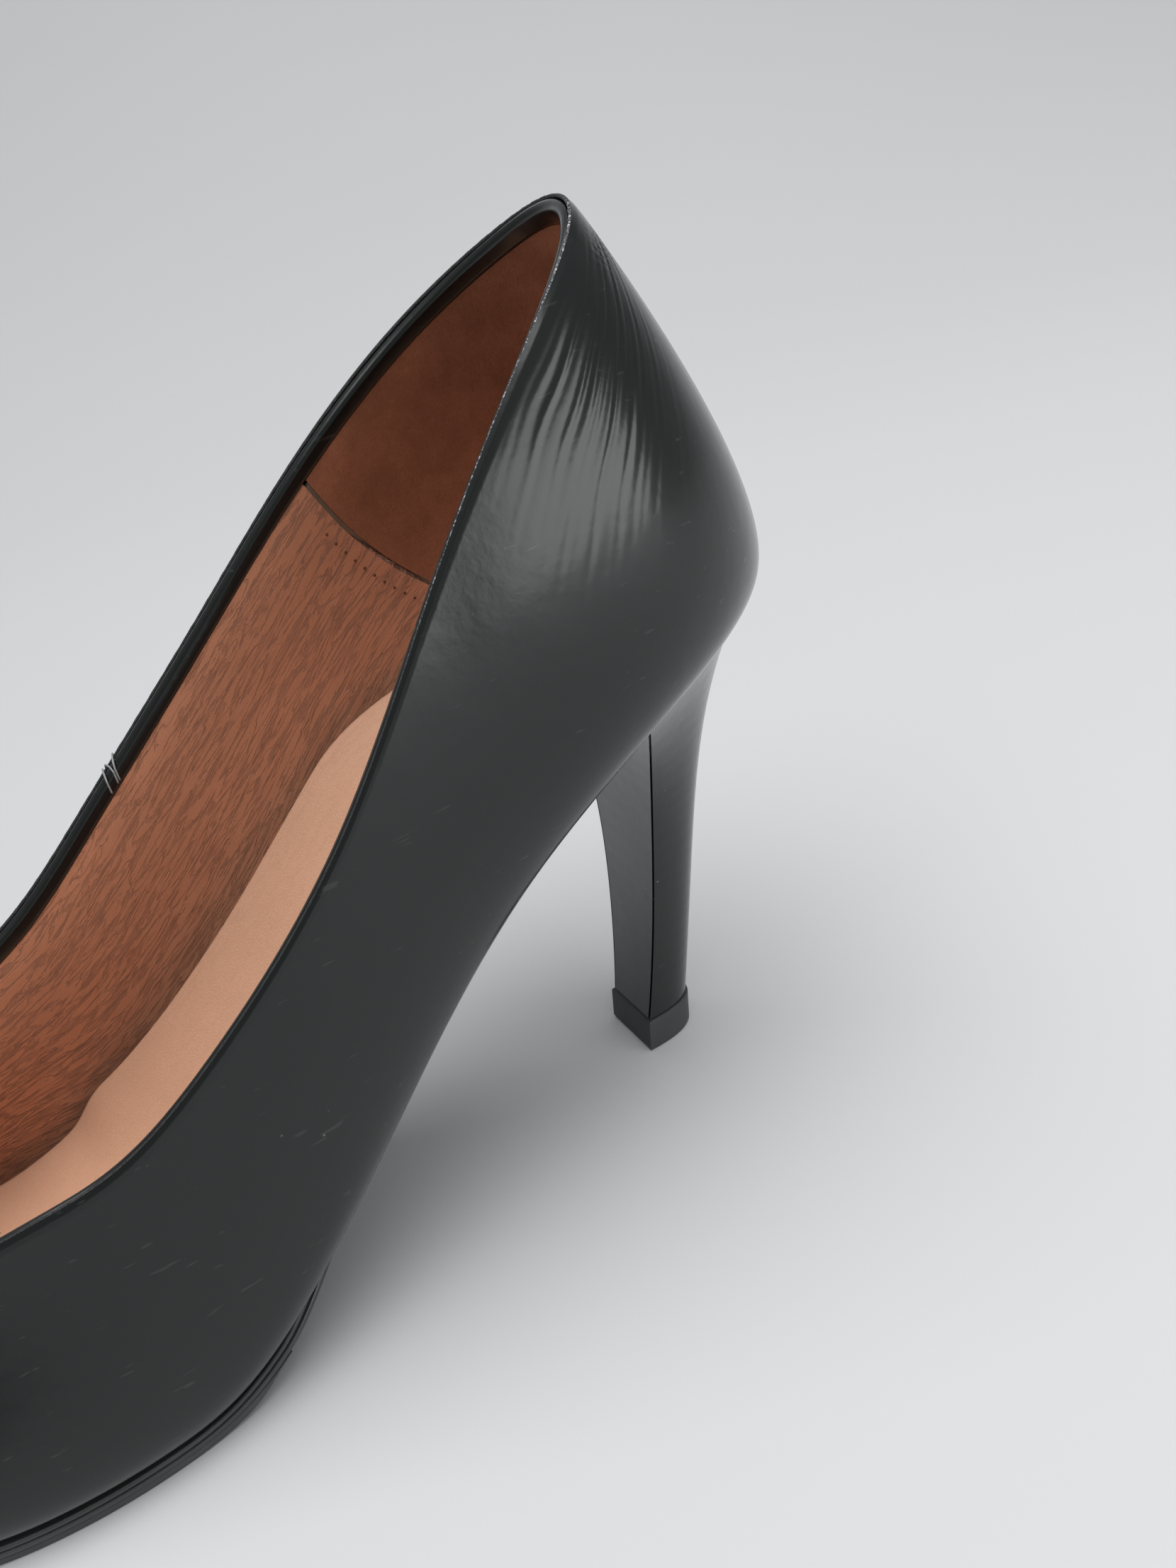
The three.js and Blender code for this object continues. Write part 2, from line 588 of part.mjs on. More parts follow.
// The foam drops to the insole board in front of the shank board.
const foamLow = (s) => (s > SHANK_BOARD_FRONT + CLEARANCE ? SHANK_BOARD_UNDER : FOAM_UNDER);
add("foam_insole", plate({
  ...inside(FOAM_UNDER + FOAM_THICKNESS), rear: HEEL_PAD_FRONT + CLEARANCE,
  low: foamLow, top: () => FOAM_UNDER + FOAM_THICKNESS,
}), FOAM);
add("heel_pad", plate({
  ...inside(FOAM_UNDER + FOAM_THICKNESS), front: HEEL_PAD_FRONT, ...level(FOAM_UNDER, FOAM_THICKNESS),
}), FOAM);
add("sock", plate({
  ...inside(SOCK_UNDER + SOCK_THICKNESS), ...level(SOCK_UNDER, SOCK_THICKNESS),
}), LEATHER);

// ---------- soles ----------
const WAIST_END = 108;
const FOREPART = 126;
const soleReach = (s) => mix(WAIST_EDGE, OUTSOLE_EDGE, smooth((s - WAIST_END) / (FOREPART - WAIST_END)));
add("outsole", plate({
  rear: HEEL_SEAT_FRONT + 2 * CLEARANCE, front: frontEnd(OUTSOLE_EDGE), reach: soleReach,
  ...level(-SOLE_GAP - OUTSOLE_THICKNESS, OUTSOLE_THICKNESS),
}), RUBBER);
const halfSoleEdge = OUTSOLE_EDGE - HALF_SOLE_STEP;
add("half_sole", plate({
  rear: HALF_SOLE_REAR, front: frontEnd(halfSoleEdge), reach: (s) => soleReach(s) - HALF_SOLE_STEP,
  ...level(-BOTTOM_STACK, HALF_SOLE_THICKNESS),
}), RUBBER);

// ---------- heel ----------
const HEEL_FOOT = HEEL_TIP_THICKNESS + CLEARANCE;
const ROUND_STEPS = 18; // round the heel's sides and back
const SQUARENESS = 0.72; // under 1 squares the D section's shoulders
const power = (v) => Math.sign(v) * Math.abs(v) ** SQUARENESS;

// The D section: round its sides and back at angle a, its flat front between the ends.
const section = (width, front, back, inset) => (a) => [
  (width / 2 - inset) * power(Math.cos(a)),
  front - inset - (front - back - 2 * inset) * Math.max(0, power(Math.sin(a))),
];
// The heel's side and back at angle a and a share of its height, moved inwards by inset.
function heelPoint(a, share, inset) {
  const tip = section(
    HEEL_TIP_WIDTH - 2 * HEEL_TIP_STEP, HEEL_TIP_FRONT - HEEL_TIP_STEP,
    HEEL_TIP_FRONT - HEEL_TIP_DEPTH + HEEL_TIP_STEP, inset,
  )(a);
  const waist = section(HEEL_WAIST_WIDTH, HEEL_WAIST_FRONT, HEEL_WAIST_BACK, inset)(a);
  const neck = section(HEEL_NECK_WIDTH, HEEL_NECK_FRONT, HEEL_NECK_BACK, inset)(a);
  const front = HEEL_SEAT_FRONT - inset;
  const d = HEEL_CUP_EDGE - inset;
  const seatEdge = edge(mix(edgeU(front, false, d), edgeU(front, true, d), a / Math.PI), d);
  const seat = [seatEdge.x, seatEdge.s];
  const flare = share ** CUP_FLARE;
  const [x, s] = [0, 1].map((c) => {
    const bow = (1 - share) ** 2 * tip[c] + 2 * share * (1 - share) * bowPoint(tip, waist, neck, c);
    return mix(bow + share ** 2 * neck[c], seat[c], flare);
  });
  const top = bottom(seat[1]) - CLEARANCE;
  return new THREE.Vector3(x, s, mix(HEEL_FOOT, top, share));
}
// Middle control value of the parabola through tip, waist at half height and neck.
const bowPoint = (tip, waist, neck, c) => 2 * waist[c] - (tip[c] + neck[c]) / 2;

const LEVELS = [0, 0.12, 0.26, 0.4, 0.54, 0.67, 0.78, 0.86, 0.92, 0.96, 1];
const ANGLES = Array.from({ length: ROUND_STEPS + 1 }, (_, i) => (Math.PI * i) / ROUND_STEPS);
const tubeFoot = new THREE.Vector3(0, HEEL_TIP_FRONT - HEEL_TIP_DEPTH / 2, HEEL_TIP_THICKNESS);
const alongTube = (profile) => turned(profile, tubeFoot, -TUBE_LEAN, 16);

add("heel_core", cut(
  stack(LEVELS.map((share) => ANGLES.map((a) => heelPoint(a, share, CORE_INSET)))),
  alongTube(rod(TUBE_RADIUS + CLEARANCE, -5, TUBE_LENGTH + CLEARANCE)),
  ...fasteners(CLEARANCE),
), PLASTIC);
add("heel_wrap", slab(
  ANGLES.length, LEVELS.length,
  (i, j) => heelPoint(ANGLES[i], LEVELS[j], 0),
  (i, j) => heelPoint(ANGLES[i], LEVELS[j], HEEL_COVER_THICKNESS),
), PATENT);
// The breast cover lies between the wrap's front edges.
function breastPoint(side, share, inset) {
  const corner = heelPoint(side > 0 ? 0 : Math.PI, share, CORE_INSET);
  const s = corner.y + CORE_INSET - inset;
  return new THREE.Vector3(corner.x, s, Math.min(corner.z, bottom(s) - 2 * CLEARANCE));
}
add("heel_breast_cover", slab(
  LEVELS.length, 2,
  (i, j) => breastPoint(j ? 1 : -1, LEVELS[i], 0),
  (i, j) => breastPoint(j ? 1 : -1, LEVELS[i], HEEL_COVER_THICKNESS),
), PATENT);
add("heel_tube", alongTube([
  [TUBE_BORE, CLEARANCE + 0.4],
  [TUBE_RADIUS, CLEARANCE + 0.4],
  [TUBE_RADIUS, TUBE_LENGTH],
  [TUBE_BORE, TUBE_LENGTH],
  [TUBE_BORE, CLEARANCE + 0.4],
]), STEEL);

const TIP_BEVEL = 0.5;
const tipRing = (z, inset) => ANGLES.map((a) => {
  const [x, s] = section(HEEL_TIP_WIDTH, HEEL_TIP_FRONT, HEEL_TIP_FRONT - HEEL_TIP_DEPTH, inset)(a);
  return new THREE.Vector3(x, s, z);
});
const pinProfile = (g) => [
  [0, -TIP_PIN_HEAD_THICKNESS - 2 - g],
  [TIP_PIN_HEAD_RADIUS + g, -TIP_PIN_HEAD_THICKNESS - 2 - g],
  [TIP_PIN_HEAD_RADIUS + g, -2 + g],
  [TIP_PIN_RADIUS + g, -2 + g],
  [TIP_PIN_RADIUS + g, TIP_PIN_LENGTH],
  [0, TIP_PIN_LENGTH],
];
add("heel_tip", cut(
  stack([
    tipRing(0, TIP_BEVEL),
    tipRing(TIP_BEVEL, 0),
    tipRing(HEEL_TIP_THICKNESS, 0),
  ]),
  alongTube(pinProfile(CLEARANCE)),
), RUBBER);
add("heel_tip_pin", alongTube(pinProfile(0)), STEEL);

nailPlaces.forEach(([x, s], i) => add(`heel_nail_${i + 1}`, fastener(NAIL, x, s, 0), STEEL));
add("heel_screw", fastener(SCREW, 0, SCREW_PLACE, 0), STEEL);

// The origin: on the floor under the middle of the shoe.
const box = new THREE.Box3().setFromObject(shoe);
const middle = box.getCenter(new THREE.Vector3());
shoe.position.set(-middle.x, -middle.y, 0);
shoe.updateMatrixWorld(true);

export default shoe;
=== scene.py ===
import json
import math

import bmesh
import bpy
import numpy as np
from mathutils import Matrix, Vector

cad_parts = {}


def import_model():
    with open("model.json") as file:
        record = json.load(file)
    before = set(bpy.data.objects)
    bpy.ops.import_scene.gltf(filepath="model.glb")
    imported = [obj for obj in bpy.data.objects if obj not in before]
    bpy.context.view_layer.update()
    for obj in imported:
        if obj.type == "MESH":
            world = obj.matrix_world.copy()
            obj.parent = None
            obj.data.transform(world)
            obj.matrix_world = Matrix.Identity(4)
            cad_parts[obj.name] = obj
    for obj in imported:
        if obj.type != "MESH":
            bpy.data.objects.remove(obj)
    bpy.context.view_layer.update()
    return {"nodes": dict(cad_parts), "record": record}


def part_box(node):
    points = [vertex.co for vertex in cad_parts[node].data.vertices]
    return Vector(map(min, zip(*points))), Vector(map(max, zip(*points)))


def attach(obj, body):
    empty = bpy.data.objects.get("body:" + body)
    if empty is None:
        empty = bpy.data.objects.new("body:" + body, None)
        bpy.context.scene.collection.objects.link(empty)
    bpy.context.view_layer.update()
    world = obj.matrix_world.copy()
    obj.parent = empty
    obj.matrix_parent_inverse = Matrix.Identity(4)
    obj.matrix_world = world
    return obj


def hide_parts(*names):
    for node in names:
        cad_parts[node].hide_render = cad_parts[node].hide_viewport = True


bl_info = {
    "name": "Patent Court Pump",
    "version": (1, 0, 0),
    "blender": (4, 5, 0),
    "location": "3D View > Sidebar > Pump",
    "description": "Builds the finished pieces of a high heel pump round its packed frame",
    "category": "Object",
}

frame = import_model()

# Shoemaker's coordinates: x outwards, s along the floor from the heel to the toe, z up, in
# millimetres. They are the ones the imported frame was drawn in.
TIP_FRONT = 41.4
_low, _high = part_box("heel_tip")
ORIGIN = np.array([(_low.x + _high.x) * 500, _low.y * 1000 + TIP_FRONT])

LAST_LENGTH = 218.0
BALL_WIDTH = 71.0
HEEL_RISE = 84.0
TOE_SPRING = 9.0
BACK_HEIGHT = 66.0
EDGE_ROUND = 10.0
TOE_ROUND = 6.0
TOE_UPRIGHT = 0.3
SIDE_BULGE = 3.0
MARGIN = 8.0
BOTTOM_STACK = 4.5

UPPER = 1.0
WALL = 3.1
BINDING_REACH = 3.6
BOARD_UNDER = WALL + 0.45
FOOTBED = BOARD_UNDER + 1.6 + 0.3 + 1.2 + 0.3 + 1.4 + 0.3
SOCK = 0.8

# Each row: edge s, outer x, inner x, topline s, outer x, inner x, outer height, inner height,
# fullness, from the toe to the heel.
LAST_ROWS = [
    (1.0, -0.07, -0.07, 0.8, -0.02, -0.02, 0.57, 0.57, 1),
    (0.975, 0.125, -0.25, 0.795, 0.14, -0.18, 0.57, 0.57, 1),
    (0.91, 0.315, -0.4, 0.78, 0.27, -0.3, 0.58, 0.6, 1),
    (0.81, 0.46, -0.485, 0.74, 0.38, -0.4, 0.63, 0.71, 1.5),
    (0.69, 0.51, -0.49, 0.65, 0.43, -0.44, 0.69, 0.86, 1.5),
    (0.55, 0.425, -0.35, 0.54, 0.445, -0.445, 0.71, 0.96, 1),
    (0.4, 0.305, -0.22, 0.41, 0.45, -0.42, 0.69, 0.95, 0.6),
    (0.26, 0.325, -0.295, 0.3, 0.395, -0.375, 0.84, 0.96, 1.6),
    (0.12, 0.335, -0.33, 0.2, 0.345, -0.345, 0.99, 0.99, 4.5),
    (0.035, 0.2, -0.2, 0.115, 0.22, -0.21, 1.06, 1.03, 6),
    (0.018, 0, 0, 0.085, 0, 0, 1.08, 1.08, 6),
]
# Bottom profile: s, share of the heel's rise, share of the toe spring.
BOTTOM_ROWS = [
    (-0.1, 1.07, 0), (0.0, 1.0, 0), (0.1, 0.92, 0), (0.2, 0.8, 0), (0.3, 0.64, 0),
    (0.4, 0.41, 0), (0.5, 0.19, 0), (0.58, 0.045, 0), (0.63, 0, 0), (0.67, 0, 0),
    (0.71, 0, 0), (0.75, 0, 0), (0.79, 0, 0), (0.86, 0, 0.15), (0.93, 0, 0.5),
    (1.0, 0, 1.0), (1.1, 0, 1.8),
]
TOP_ROW = len(LAST_ROWS) - 1
STATIONS = 2 * TOP_ROW  # round the whole last, from the toe by the outer side
HEEL_U = TOP_ROW


def last_stations():
    rows = []
    for k in range(STATIONS):
        outer = k <= TOP_ROW
        es, ex, ix, ts, tx, tix, th, tih, full = LAST_ROWS[k if outer else STATIONS - k]
        rows.append((
            es * LAST_LENGTH, (ex if outer else ix) * BALL_WIDTH,
            ts * LAST_LENGTH, (tx if outer else tix) * BALL_WIDTH,
            (th if outer else tih) * BACK_HEIGHT, full * SIDE_BULGE,
        ))
    return np.array(rows)


def spline(rows, t, closed):
    """Uniform cubic B-spline over rows of numbers, at an array of t."""
    t = np.asarray(t, float)
    i = np.floor(t).astype(int)
    f = (t - i)[..., None]
    n = len(rows)
    pick = (lambda k: rows[k % n]) if closed else (lambda k: rows[np.clip(k, 0, n - 1)])
    return (
        (1 - f) ** 3 / 6 * pick(i - 1)
        + (3 * f**3 - 6 * f**2 + 4) / 6 * pick(i)
        + (-3 * f**3 + 3 * f**2 + 3 * f + 1) / 6 * pick(i + 1)
        + f**3 / 6 * pick(i + 2)
    )


LAST = last_stations()
_profile = spline(np.array(BOTTOM_ROWS), np.linspace(0, len(BOTTOM_ROWS) - 1, 6001), False)


def bottom(s):
    """Height of the last's flat bottom at s."""
    z = HEEL_RISE * _profile[:, 1] + TOE_SPRING * _profile[:, 2]
    return BOTTOM_STACK + np.interp(s, _profile[:, 0] * LAST_LENGTH, z)


def on_bottom(x, s, h):
    """A point h above the last's bottom, square to it."""
    slope = (bottom(s + 0.4) - bottom(s - 0.4)) / 0.8
    q = np.hypot(1, slope)
    return np.stack(np.broadcast_arrays(x, s - h * slope / q, bottom(s) + h / q), -1)


def edge(u, d=0.0):
    """The flat sole edge at u, moved outwards by d: s, x and the outward direction."""
    a = spline(LAST, u, True)
    b = spline(LAST, np.asarray(u) + 0.01, True) - spline(LAST, np.asarray(u) - 0.01, True)
    length = np.hypot(b[..., 0], b[..., 1])
    out_s, out_x = b[..., 1] / length, -b[..., 0] / length
    return a[..., 0] + d * out_s, a[..., 1] + d * out_x, out_s, out_x


def edge_u(s, inner=False, d=0.0):
    """u of the sole edge moved outwards by d, at s on the outer or the inner side."""
    s, d = np.broadcast_arrays(np.asarray(s, float), np.asarray(d, float))
    low, high = np.zeros(s.shape), np.full(s.shape, float(HEEL_U))
    for _ in range(26):
        u = (low + high) / 2
        beyond = edge(STATIONS - u if inner else u, d)[0] > s
        low, high = np.where(beyond, u, low), np.where(beyond, high, u)
    return STATIONS - low if inner else low


def edge_x(s, inner, d):
    return edge(edge_u(s, inner, d), d)[1]


def smooth(t):
    t = np.clip(t, 0, 1)
    return t * t * (3 - 2 * t)


def mix(a, b, t):
    return a + (b - a) * t


def skin(u, t):
    """The upper's outer face: t is 0 at the flat sole edge and 1 at the topline."""
    u, t = np.broadcast_arrays(np.asarray(u, float), np.asarray(t, float))
    ms, mx, _, _ = edge(u, np.minimum(t, 0) * MARGIN)
    margin = np.stack([mx, ms, bottom(ms)], -1)
    row = spline(LAST, u, True)
    es, ex, out_s, out_x = edge(u)
    foot = np.stack([ex, es, bottom(es)], -1)
    top = np.stack([row[..., 3], row[..., 2], bottom(row[..., 2]) + row[..., 4]], -1)
    rise = top[..., 2] - foot[..., 2]
    run = np.hypot(top[..., 0] - foot[..., 0], top[..., 1] - foot[..., 1])
    toe = smooth((run / rise - 0.2) / 1.3)
    out = np.stack([out_x, out_s, np.zeros_like(out_x)], -1)
    low = foot + out * mix(EDGE_ROUND, TOE_ROUND, toe)[..., None]
    low[..., 2] += toe * rise * TOE_UPRIGHT
    high = top + out * mix(row[..., 5], run * 0.62, toe)[..., None]
    high[..., 2] -= rise * mix(0.55, 0.16, toe)
    w = np.clip(t, 0, 1)[..., None]
    p = (1 - w) ** 3 * foot + 3 * w * (1 - w) ** 2 * low + 3 * w * w * (1 - w) * high + w**3 * top
    beyond = top - high
    beyond /= np.linalg.norm(beyond, axis=-1, keepdims=True)
    p = p + beyond * (np.maximum(t - 1, 0) * rise)[..., None]
    return np.where((t < 0)[..., None], margin, p)


def under(u, t, depth):
    """The point a depth below the upper's outer face."""
    u, t, depth = np.broadcast_arrays(*(np.asarray(v, float) for v in (u, t, depth)))
    du = skin(u + 0.03, t) - skin(u - 0.03, t)
    dt = skin(u, t + 0.02) - skin(u, t - 0.02)
    inwards = np.cross(du, dt)
    inwards /= np.linalg.norm(inwards, axis=-1, keepdims=True)
    return skin(u, t) + inwards * depth[..., None]


_us = np.linspace(0, STATIONS, 401)
_ts = np.linspace(1, 0.4, 121)
_wall = skin(_us[:, None], _ts[None, :])
_reach = np.linalg.norm(_wall - _wall[:, :1], axis=-1)
_downs = np.linspace(0, 12, 241)
_at = np.array([np.interp(_downs, reach, _ts) for reach in _reach])
_heights = _reach[:, -1] / 0.6
_along = np.concatenate([[0], np.cumsum(np.linalg.norm(np.diff(_wall[:, 0], axis=0), axis=-1))])
_along -= np.interp(HEEL_U, _us, _along)


def over_wall(u, t):
    """Distances along the topline from the shoe's back, and down the wall, in millimetres."""
    u = np.asarray(u, float) % STATIONS
    return np.interp(u, _us, _along), (1 - t) * np.interp(u, _us, _heights)


def below(u, distance):
    """t of the point on the wall that lies a distance below the topline."""
    u, distance = np.broadcast_arrays(np.asarray(u, float) % STATIONS, np.asarray(distance, float))
    i = np.clip(np.floor(u / STATIONS * (len(_us) - 1)).astype(int), 0, len(_us) - 2)
    f = u / STATIONS * (len(_us) - 1) - i
    j = np.clip(np.floor(distance / _downs[1]).astype(int), 0, len(_downs) - 2)
    g = distance / _downs[1] - j
    near, far = mix(_at[i, j], _at[i, j + 1], g), mix(_at[i + 1, j], _at[i + 1, j + 1], g)
    return mix(near, far, f)


def world(points):
    """Shoemaker's millimetres to the frame's metres."""
    p = np.asarray(points, float)
    return np.stack([p[..., 0] + ORIGIN[0], -p[..., 1] + ORIGIN[1], p[..., 2]], -1) / 1000


# ---------- pieces ----------
def grid_piece(name, columns, rows, place, uv=None):
    """A piece shaped from a grid: place(U, V) gives its points for U and V from 0 to 1.

    Edges of the grid that meet are welded, so a section that returns to its start is closed."""
    bm = bmesh.new()
    layer = bm.loops.layers.uv.new("UVMap")
    bmesh.ops.create_grid(bm, x_segments=columns, y_segments=rows, size=0.5)
    flat = np.array([v.co[:2] for v in bm.verts]) + 0.5
    points = world(place(flat[:, 0], flat[:, 1]))
    marks = np.stack(uv(flat[:, 0], flat[:, 1]), -1) if uv else flat
    bm.verts.index_update()
    for face in bm.faces:
        for loop in face.loops:
            loop[layer].uv = marks[loop.vert.index]
    for vert, point in zip(bm.verts, points):
        vert.co = point
    bmesh.ops.remove_doubles(bm, verts=bm.verts, dist=1e-6)
    bmesh.ops.dissolve_degenerate(bm, edges=bm.edges, dist=1e-7)
    return finished(name, bm)


def finished(name, bm, body="shoe", sharp=math.radians(40)):
    open_edges = [e for e in bm.edges if e.is_boundary]
    if open_edges:
        bmesh.ops.holes_fill(bm, edges=open_edges)
    bmesh.ops.recalc_face_normals(bm, faces=bm.faces)
    mesh = bpy.data.meshes.new(name)
    for face in bm.faces:
        face.smooth = True
    for e in bm.edges:
        if len(e.link_faces) == 2 and e.calc_face_angle(0) > sharp:
            e.smooth = False
    bm.to_mesh(mesh)
    bm.free()
    obj = bpy.data.objects.new(name, mesh)
    bpy.context.scene.collection.objects.link(obj)
    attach(obj, body)
    return obj


def section_at(corners, v):
    """Points on a closed outline of (first, second) numbers, its corners spaced evenly in v."""
    corners = np.array(corners, float)
    at = np.linspace(0, 1, len(corners))
    return np.interp(v, at, corners[:, 0]), np.interp(v, at, corners[:, 1])


def dress(obj, material, slot, *replaced):
    obj.data.materials.clear()
    obj.data.materials.append(material)
    if replaced:
        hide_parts(*replaced)


# ---------- shader groups ----------
def new_group(name, inputs, outputs):
    """A shader group with its input and output nodes."""
    group = bpy.data.node_groups.new(name, "ShaderNodeTree")
    for label, kind, value in inputs:
        made = group.interface.new_socket(label, in_out="INPUT", socket_type=kind)
        made.default_value = value
    for label, kind in outputs:
        group.interface.new_socket(label, in_out="OUTPUT", socket_type=kind)
    return group, group.nodes.new("NodeGroupInput"), group.nodes.new("NodeGroupOutput")


def math_node(tree, operation, a, b=None, clamp=False):
    node = tree.nodes.new("ShaderNodeMath")
    node.operation = operation
    node.use_clamp = clamp
    for slot, value in zip(node.inputs, (a, b)):
        if value is None:
            continue
        if isinstance(value, (int, float)):
            slot.default_value = value
        else:
            tree.links.new(value, slot)
    return node.outputs[0]


def ramp(tree, fac, *stops):
    node = tree.nodes.new("ShaderNodeValToRGB")
    elements = node.color_ramp.elements
    while len(elements) < len(stops):
        elements.new(0.5)
    for element, (position, color) in zip(elements, stops):
        element.position = position
        element.color = (*([color] * 3 if isinstance(color, (int, float)) else color), 1)
    tree.links.new(fac, node.inputs[0])
    return node.outputs[0]


def mixed(tree, fac, a, b, kind="MIX"):
    node = tree.nodes.new("ShaderNodeMix")
    node.data_type = "RGBA"
    node.blend_type = kind
    for slot, value in zip((node.inputs[0], node.inputs[6], node.inputs[7]), (fac, a, b)):
        if isinstance(value, bpy.types.NodeSocket):
            tree.links.new(value, slot)
        else:
            slot.default_value = value if isinstance(value, (int, float)) else (*value[:3], 1)
    return node.outputs[2]


def group_node(tree, group, **values):
    node = tree.nodes.new("ShaderNodeGroup")
    node.node_tree = group
    for key, value in values.items():
        socket = node.inputs[key.replace("_", " ")]
        if isinstance(value, bpy.types.NodeSocket):
            tree.links.new(value, socket)
        else:
            socket.default_value = value
    return node


def coordinates(tree, which="Object", scale=(1, 1, 1), rotation=(0, 0, 0)):
    source = tree.nodes.new("ShaderNodeTexCoord")
    mapping = tree.nodes.new("ShaderNodeMapping")
    mapping.inputs["Scale"].default_value = scale
    mapping.inputs["Rotation"].default_value = rotation
    tree.links.new(source.outputs[which], mapping.inputs["Vector"])
    return mapping.outputs[0]


def noise(tree, vector, scale, detail=3.0, roughness=0.5, distortion=0.0):
    node = tree.nodes.new("ShaderNodeTexNoise")
    node.inputs["Scale"].default_value = scale
    node.inputs["Detail"].default_value = detail
    node.inputs["Roughness"].default_value = roughness
    node.inputs["Distortion"].default_value = distortion
    tree.links.new(vector, node.inputs["Vector"])
    return node.outputs["Fac"]


def cells(tree, vector, scale, feature="F1", randomness=1.0):
    node = tree.nodes.new("ShaderNodeTexVoronoi")
    node.feature = feature
    node.inputs["Scale"].default_value = scale
    node.inputs["Randomness"].default_value = randomness
    tree.links.new(vector, node.inputs["Vector"])
    return node.outputs["Distance"]


def leather_grain():
    """Fine pebbled grain with pores: a height and a mask of its valleys."""
    tree, start, end = new_group(
        "leather_grain",
        [("Vector", "NodeSocketVector", (0, 0, 0)), ("Scale", "NodeSocketFloat", 1700.0)],
        [("Height", "NodeSocketFloat"), ("Valleys", "NodeSocketFloat")],
    )
    warp = tree.nodes.new("ShaderNodeTexNoise")
    warp.inputs["Scale"].default_value = 300
    tree.links.new(start.outputs["Vector"], warp.inputs["Vector"])
    shifted = tree.nodes.new("ShaderNodeVectorMath")
    shifted.operation = "MULTIPLY_ADD"
    shifted.inputs[1].default_value = (0.0004,) * 3
    tree.links.new(warp.outputs["Color"], shifted.inputs[0])
    tree.links.new(start.outputs["Vector"], shifted.inputs[2])
    cell = tree.nodes.new("ShaderNodeTexVoronoi")
    cell.feature = "DISTANCE_TO_EDGE"
    tree.links.new(shifted.outputs[0], cell.inputs["Vector"])
    tree.links.new(start.outputs["Scale"], cell.inputs["Scale"])
    pebble = ramp(tree, cell.outputs["Distance"], (0.0, 0.0), (0.25, 1.0))
    fine = noise(tree, start.outputs["Vector"], 2600, 4, 0.6)
    height = math_node(tree, "ADD", pebble, math_node(tree, "MULTIPLY", fine, 0.5))
    tree.links.new(height, end.inputs["Height"])
    tree.links.new(ramp(tree, cell.outputs["Distance"], (0.0, 1.0), (0.12, 0.0)), end.inputs["Valleys"])
    return tree


def dust_specks():
    """Sparse dust grains and short fibres: a mask."""
    tree, start, end = new_group(
        "dust_specks",
        [("Vector", "NodeSocketVector", (0, 0, 0)), ("Amount", "NodeSocketFloat", 0.5)],
        [("Mask", "NodeSocketFloat")],
    )
    grain = cells(tree, start.outputs["Vector"], 420)
    dots = ramp(tree, grain, (0.0, 1.0), (0.11, 0.0))
    where = ramp(tree, noise(tree, start.outputs["Vector"], 60, 3, 0.7), (0.58, 0.0), (0.68, 1.0))
    mask = math_node(tree, "MULTIPLY", math_node(tree, "MULTIPLY", dots, where), start.outputs["Amount"])
    tree.links.new(mask, end.inputs["Mask"])
    return tree


GROUPS = {}


def shared(name):
    if name not in GROUPS:
        GROUPS[name] = {"leather_grain": leather_grain, "dust_specks": dust_specks}[name]()
    return GROUPS[name]


def material(name, color, roughness, **sockets_set):
    made = bpy.data.materials.new(name)
    made.use_nodes = True
    tree = made.node_tree
    shader = tree.nodes["Principled BSDF"]
    shader.inputs["Base Color"].default_value = (*color[:3], 1)
    shader.inputs["Roughness"].default_value = roughness
    for key, value in sockets_set.items():
        shader.inputs[key.replace("_", " ")].default_value = value
    return made, tree, shader


def bump(tree, shader, height, distance, strength=1.0):
    node = tree.nodes.new("ShaderNodeBump")
    node.inputs["Distance"].default_value = distance
    node.inputs["Strength"].default_value = strength
    tree.links.new(height, node.inputs["Height"])
    tree.links.new(node.outputs[0], shader.inputs["Normal"])
    return node


def total(tree, *heights):
    out = heights[0]
    for h in heights[1:]:
        out = math_node(tree, "ADD", out, h)
    return out


def scaled(tree, height, by):
    return math_node(tree, "MULTIPLY", height, by)


def patent_leather(name, color, roughness=0.36, coat_roughness=0.2):
    made, tree, shader = material(
        name, color, roughness, Coat_Weight=1.0, Coat_Roughness=coat_roughness, Coat_IOR=1.44,
        Specular_IOR_Level=0.12,
    )
    where = coordinates(tree)
    large = noise(tree, where, 26, 3, 0.5)
    skin_noise = noise(tree, where, 340, 3, 0.55)
    dust = group_node(tree, shared("dust_specks"), Vector=where, Amount=0.9)
    tint = mixed(tree, large, tuple(c * 0.7 for c in color), tuple(c * 1.5 for c in color))
    scratches = noise(tree, coordinates(tree, scale=(1, 0.12, 1), rotation=(0.4, 0.3, 0.5)), 900, 2, 0.5)
    scratches = scaled(tree, ramp(tree, scratches, (0.7, 0.0), (0.74, 1.0)), 0.35)
    tint = mixed(tree, scratches, tint, (0.05, 0.052, 0.05))
    tree.links.new(mixed(tree, dust.outputs["Mask"], tint, (0.22, 0.22, 0.2)), shader.inputs["Base Color"])
    rough = math_node(tree, "ADD", scaled(tree, large, 0.16), roughness - 0.08)
    rough = math_node(tree, "ADD", rough, scaled(tree, dust.outputs["Mask"], 0.5))
    tree.links.new(rough, shader.inputs["Roughness"])
    height = total(tree, scaled(tree, large, 0.9), scaled(tree, skin_noise, 0.09))
    bump(tree, shader, height, 0.0004)
    tree.links.new(shader.inputs["Normal"].links[0].from_socket, shader.inputs["Coat Normal"])
    return made


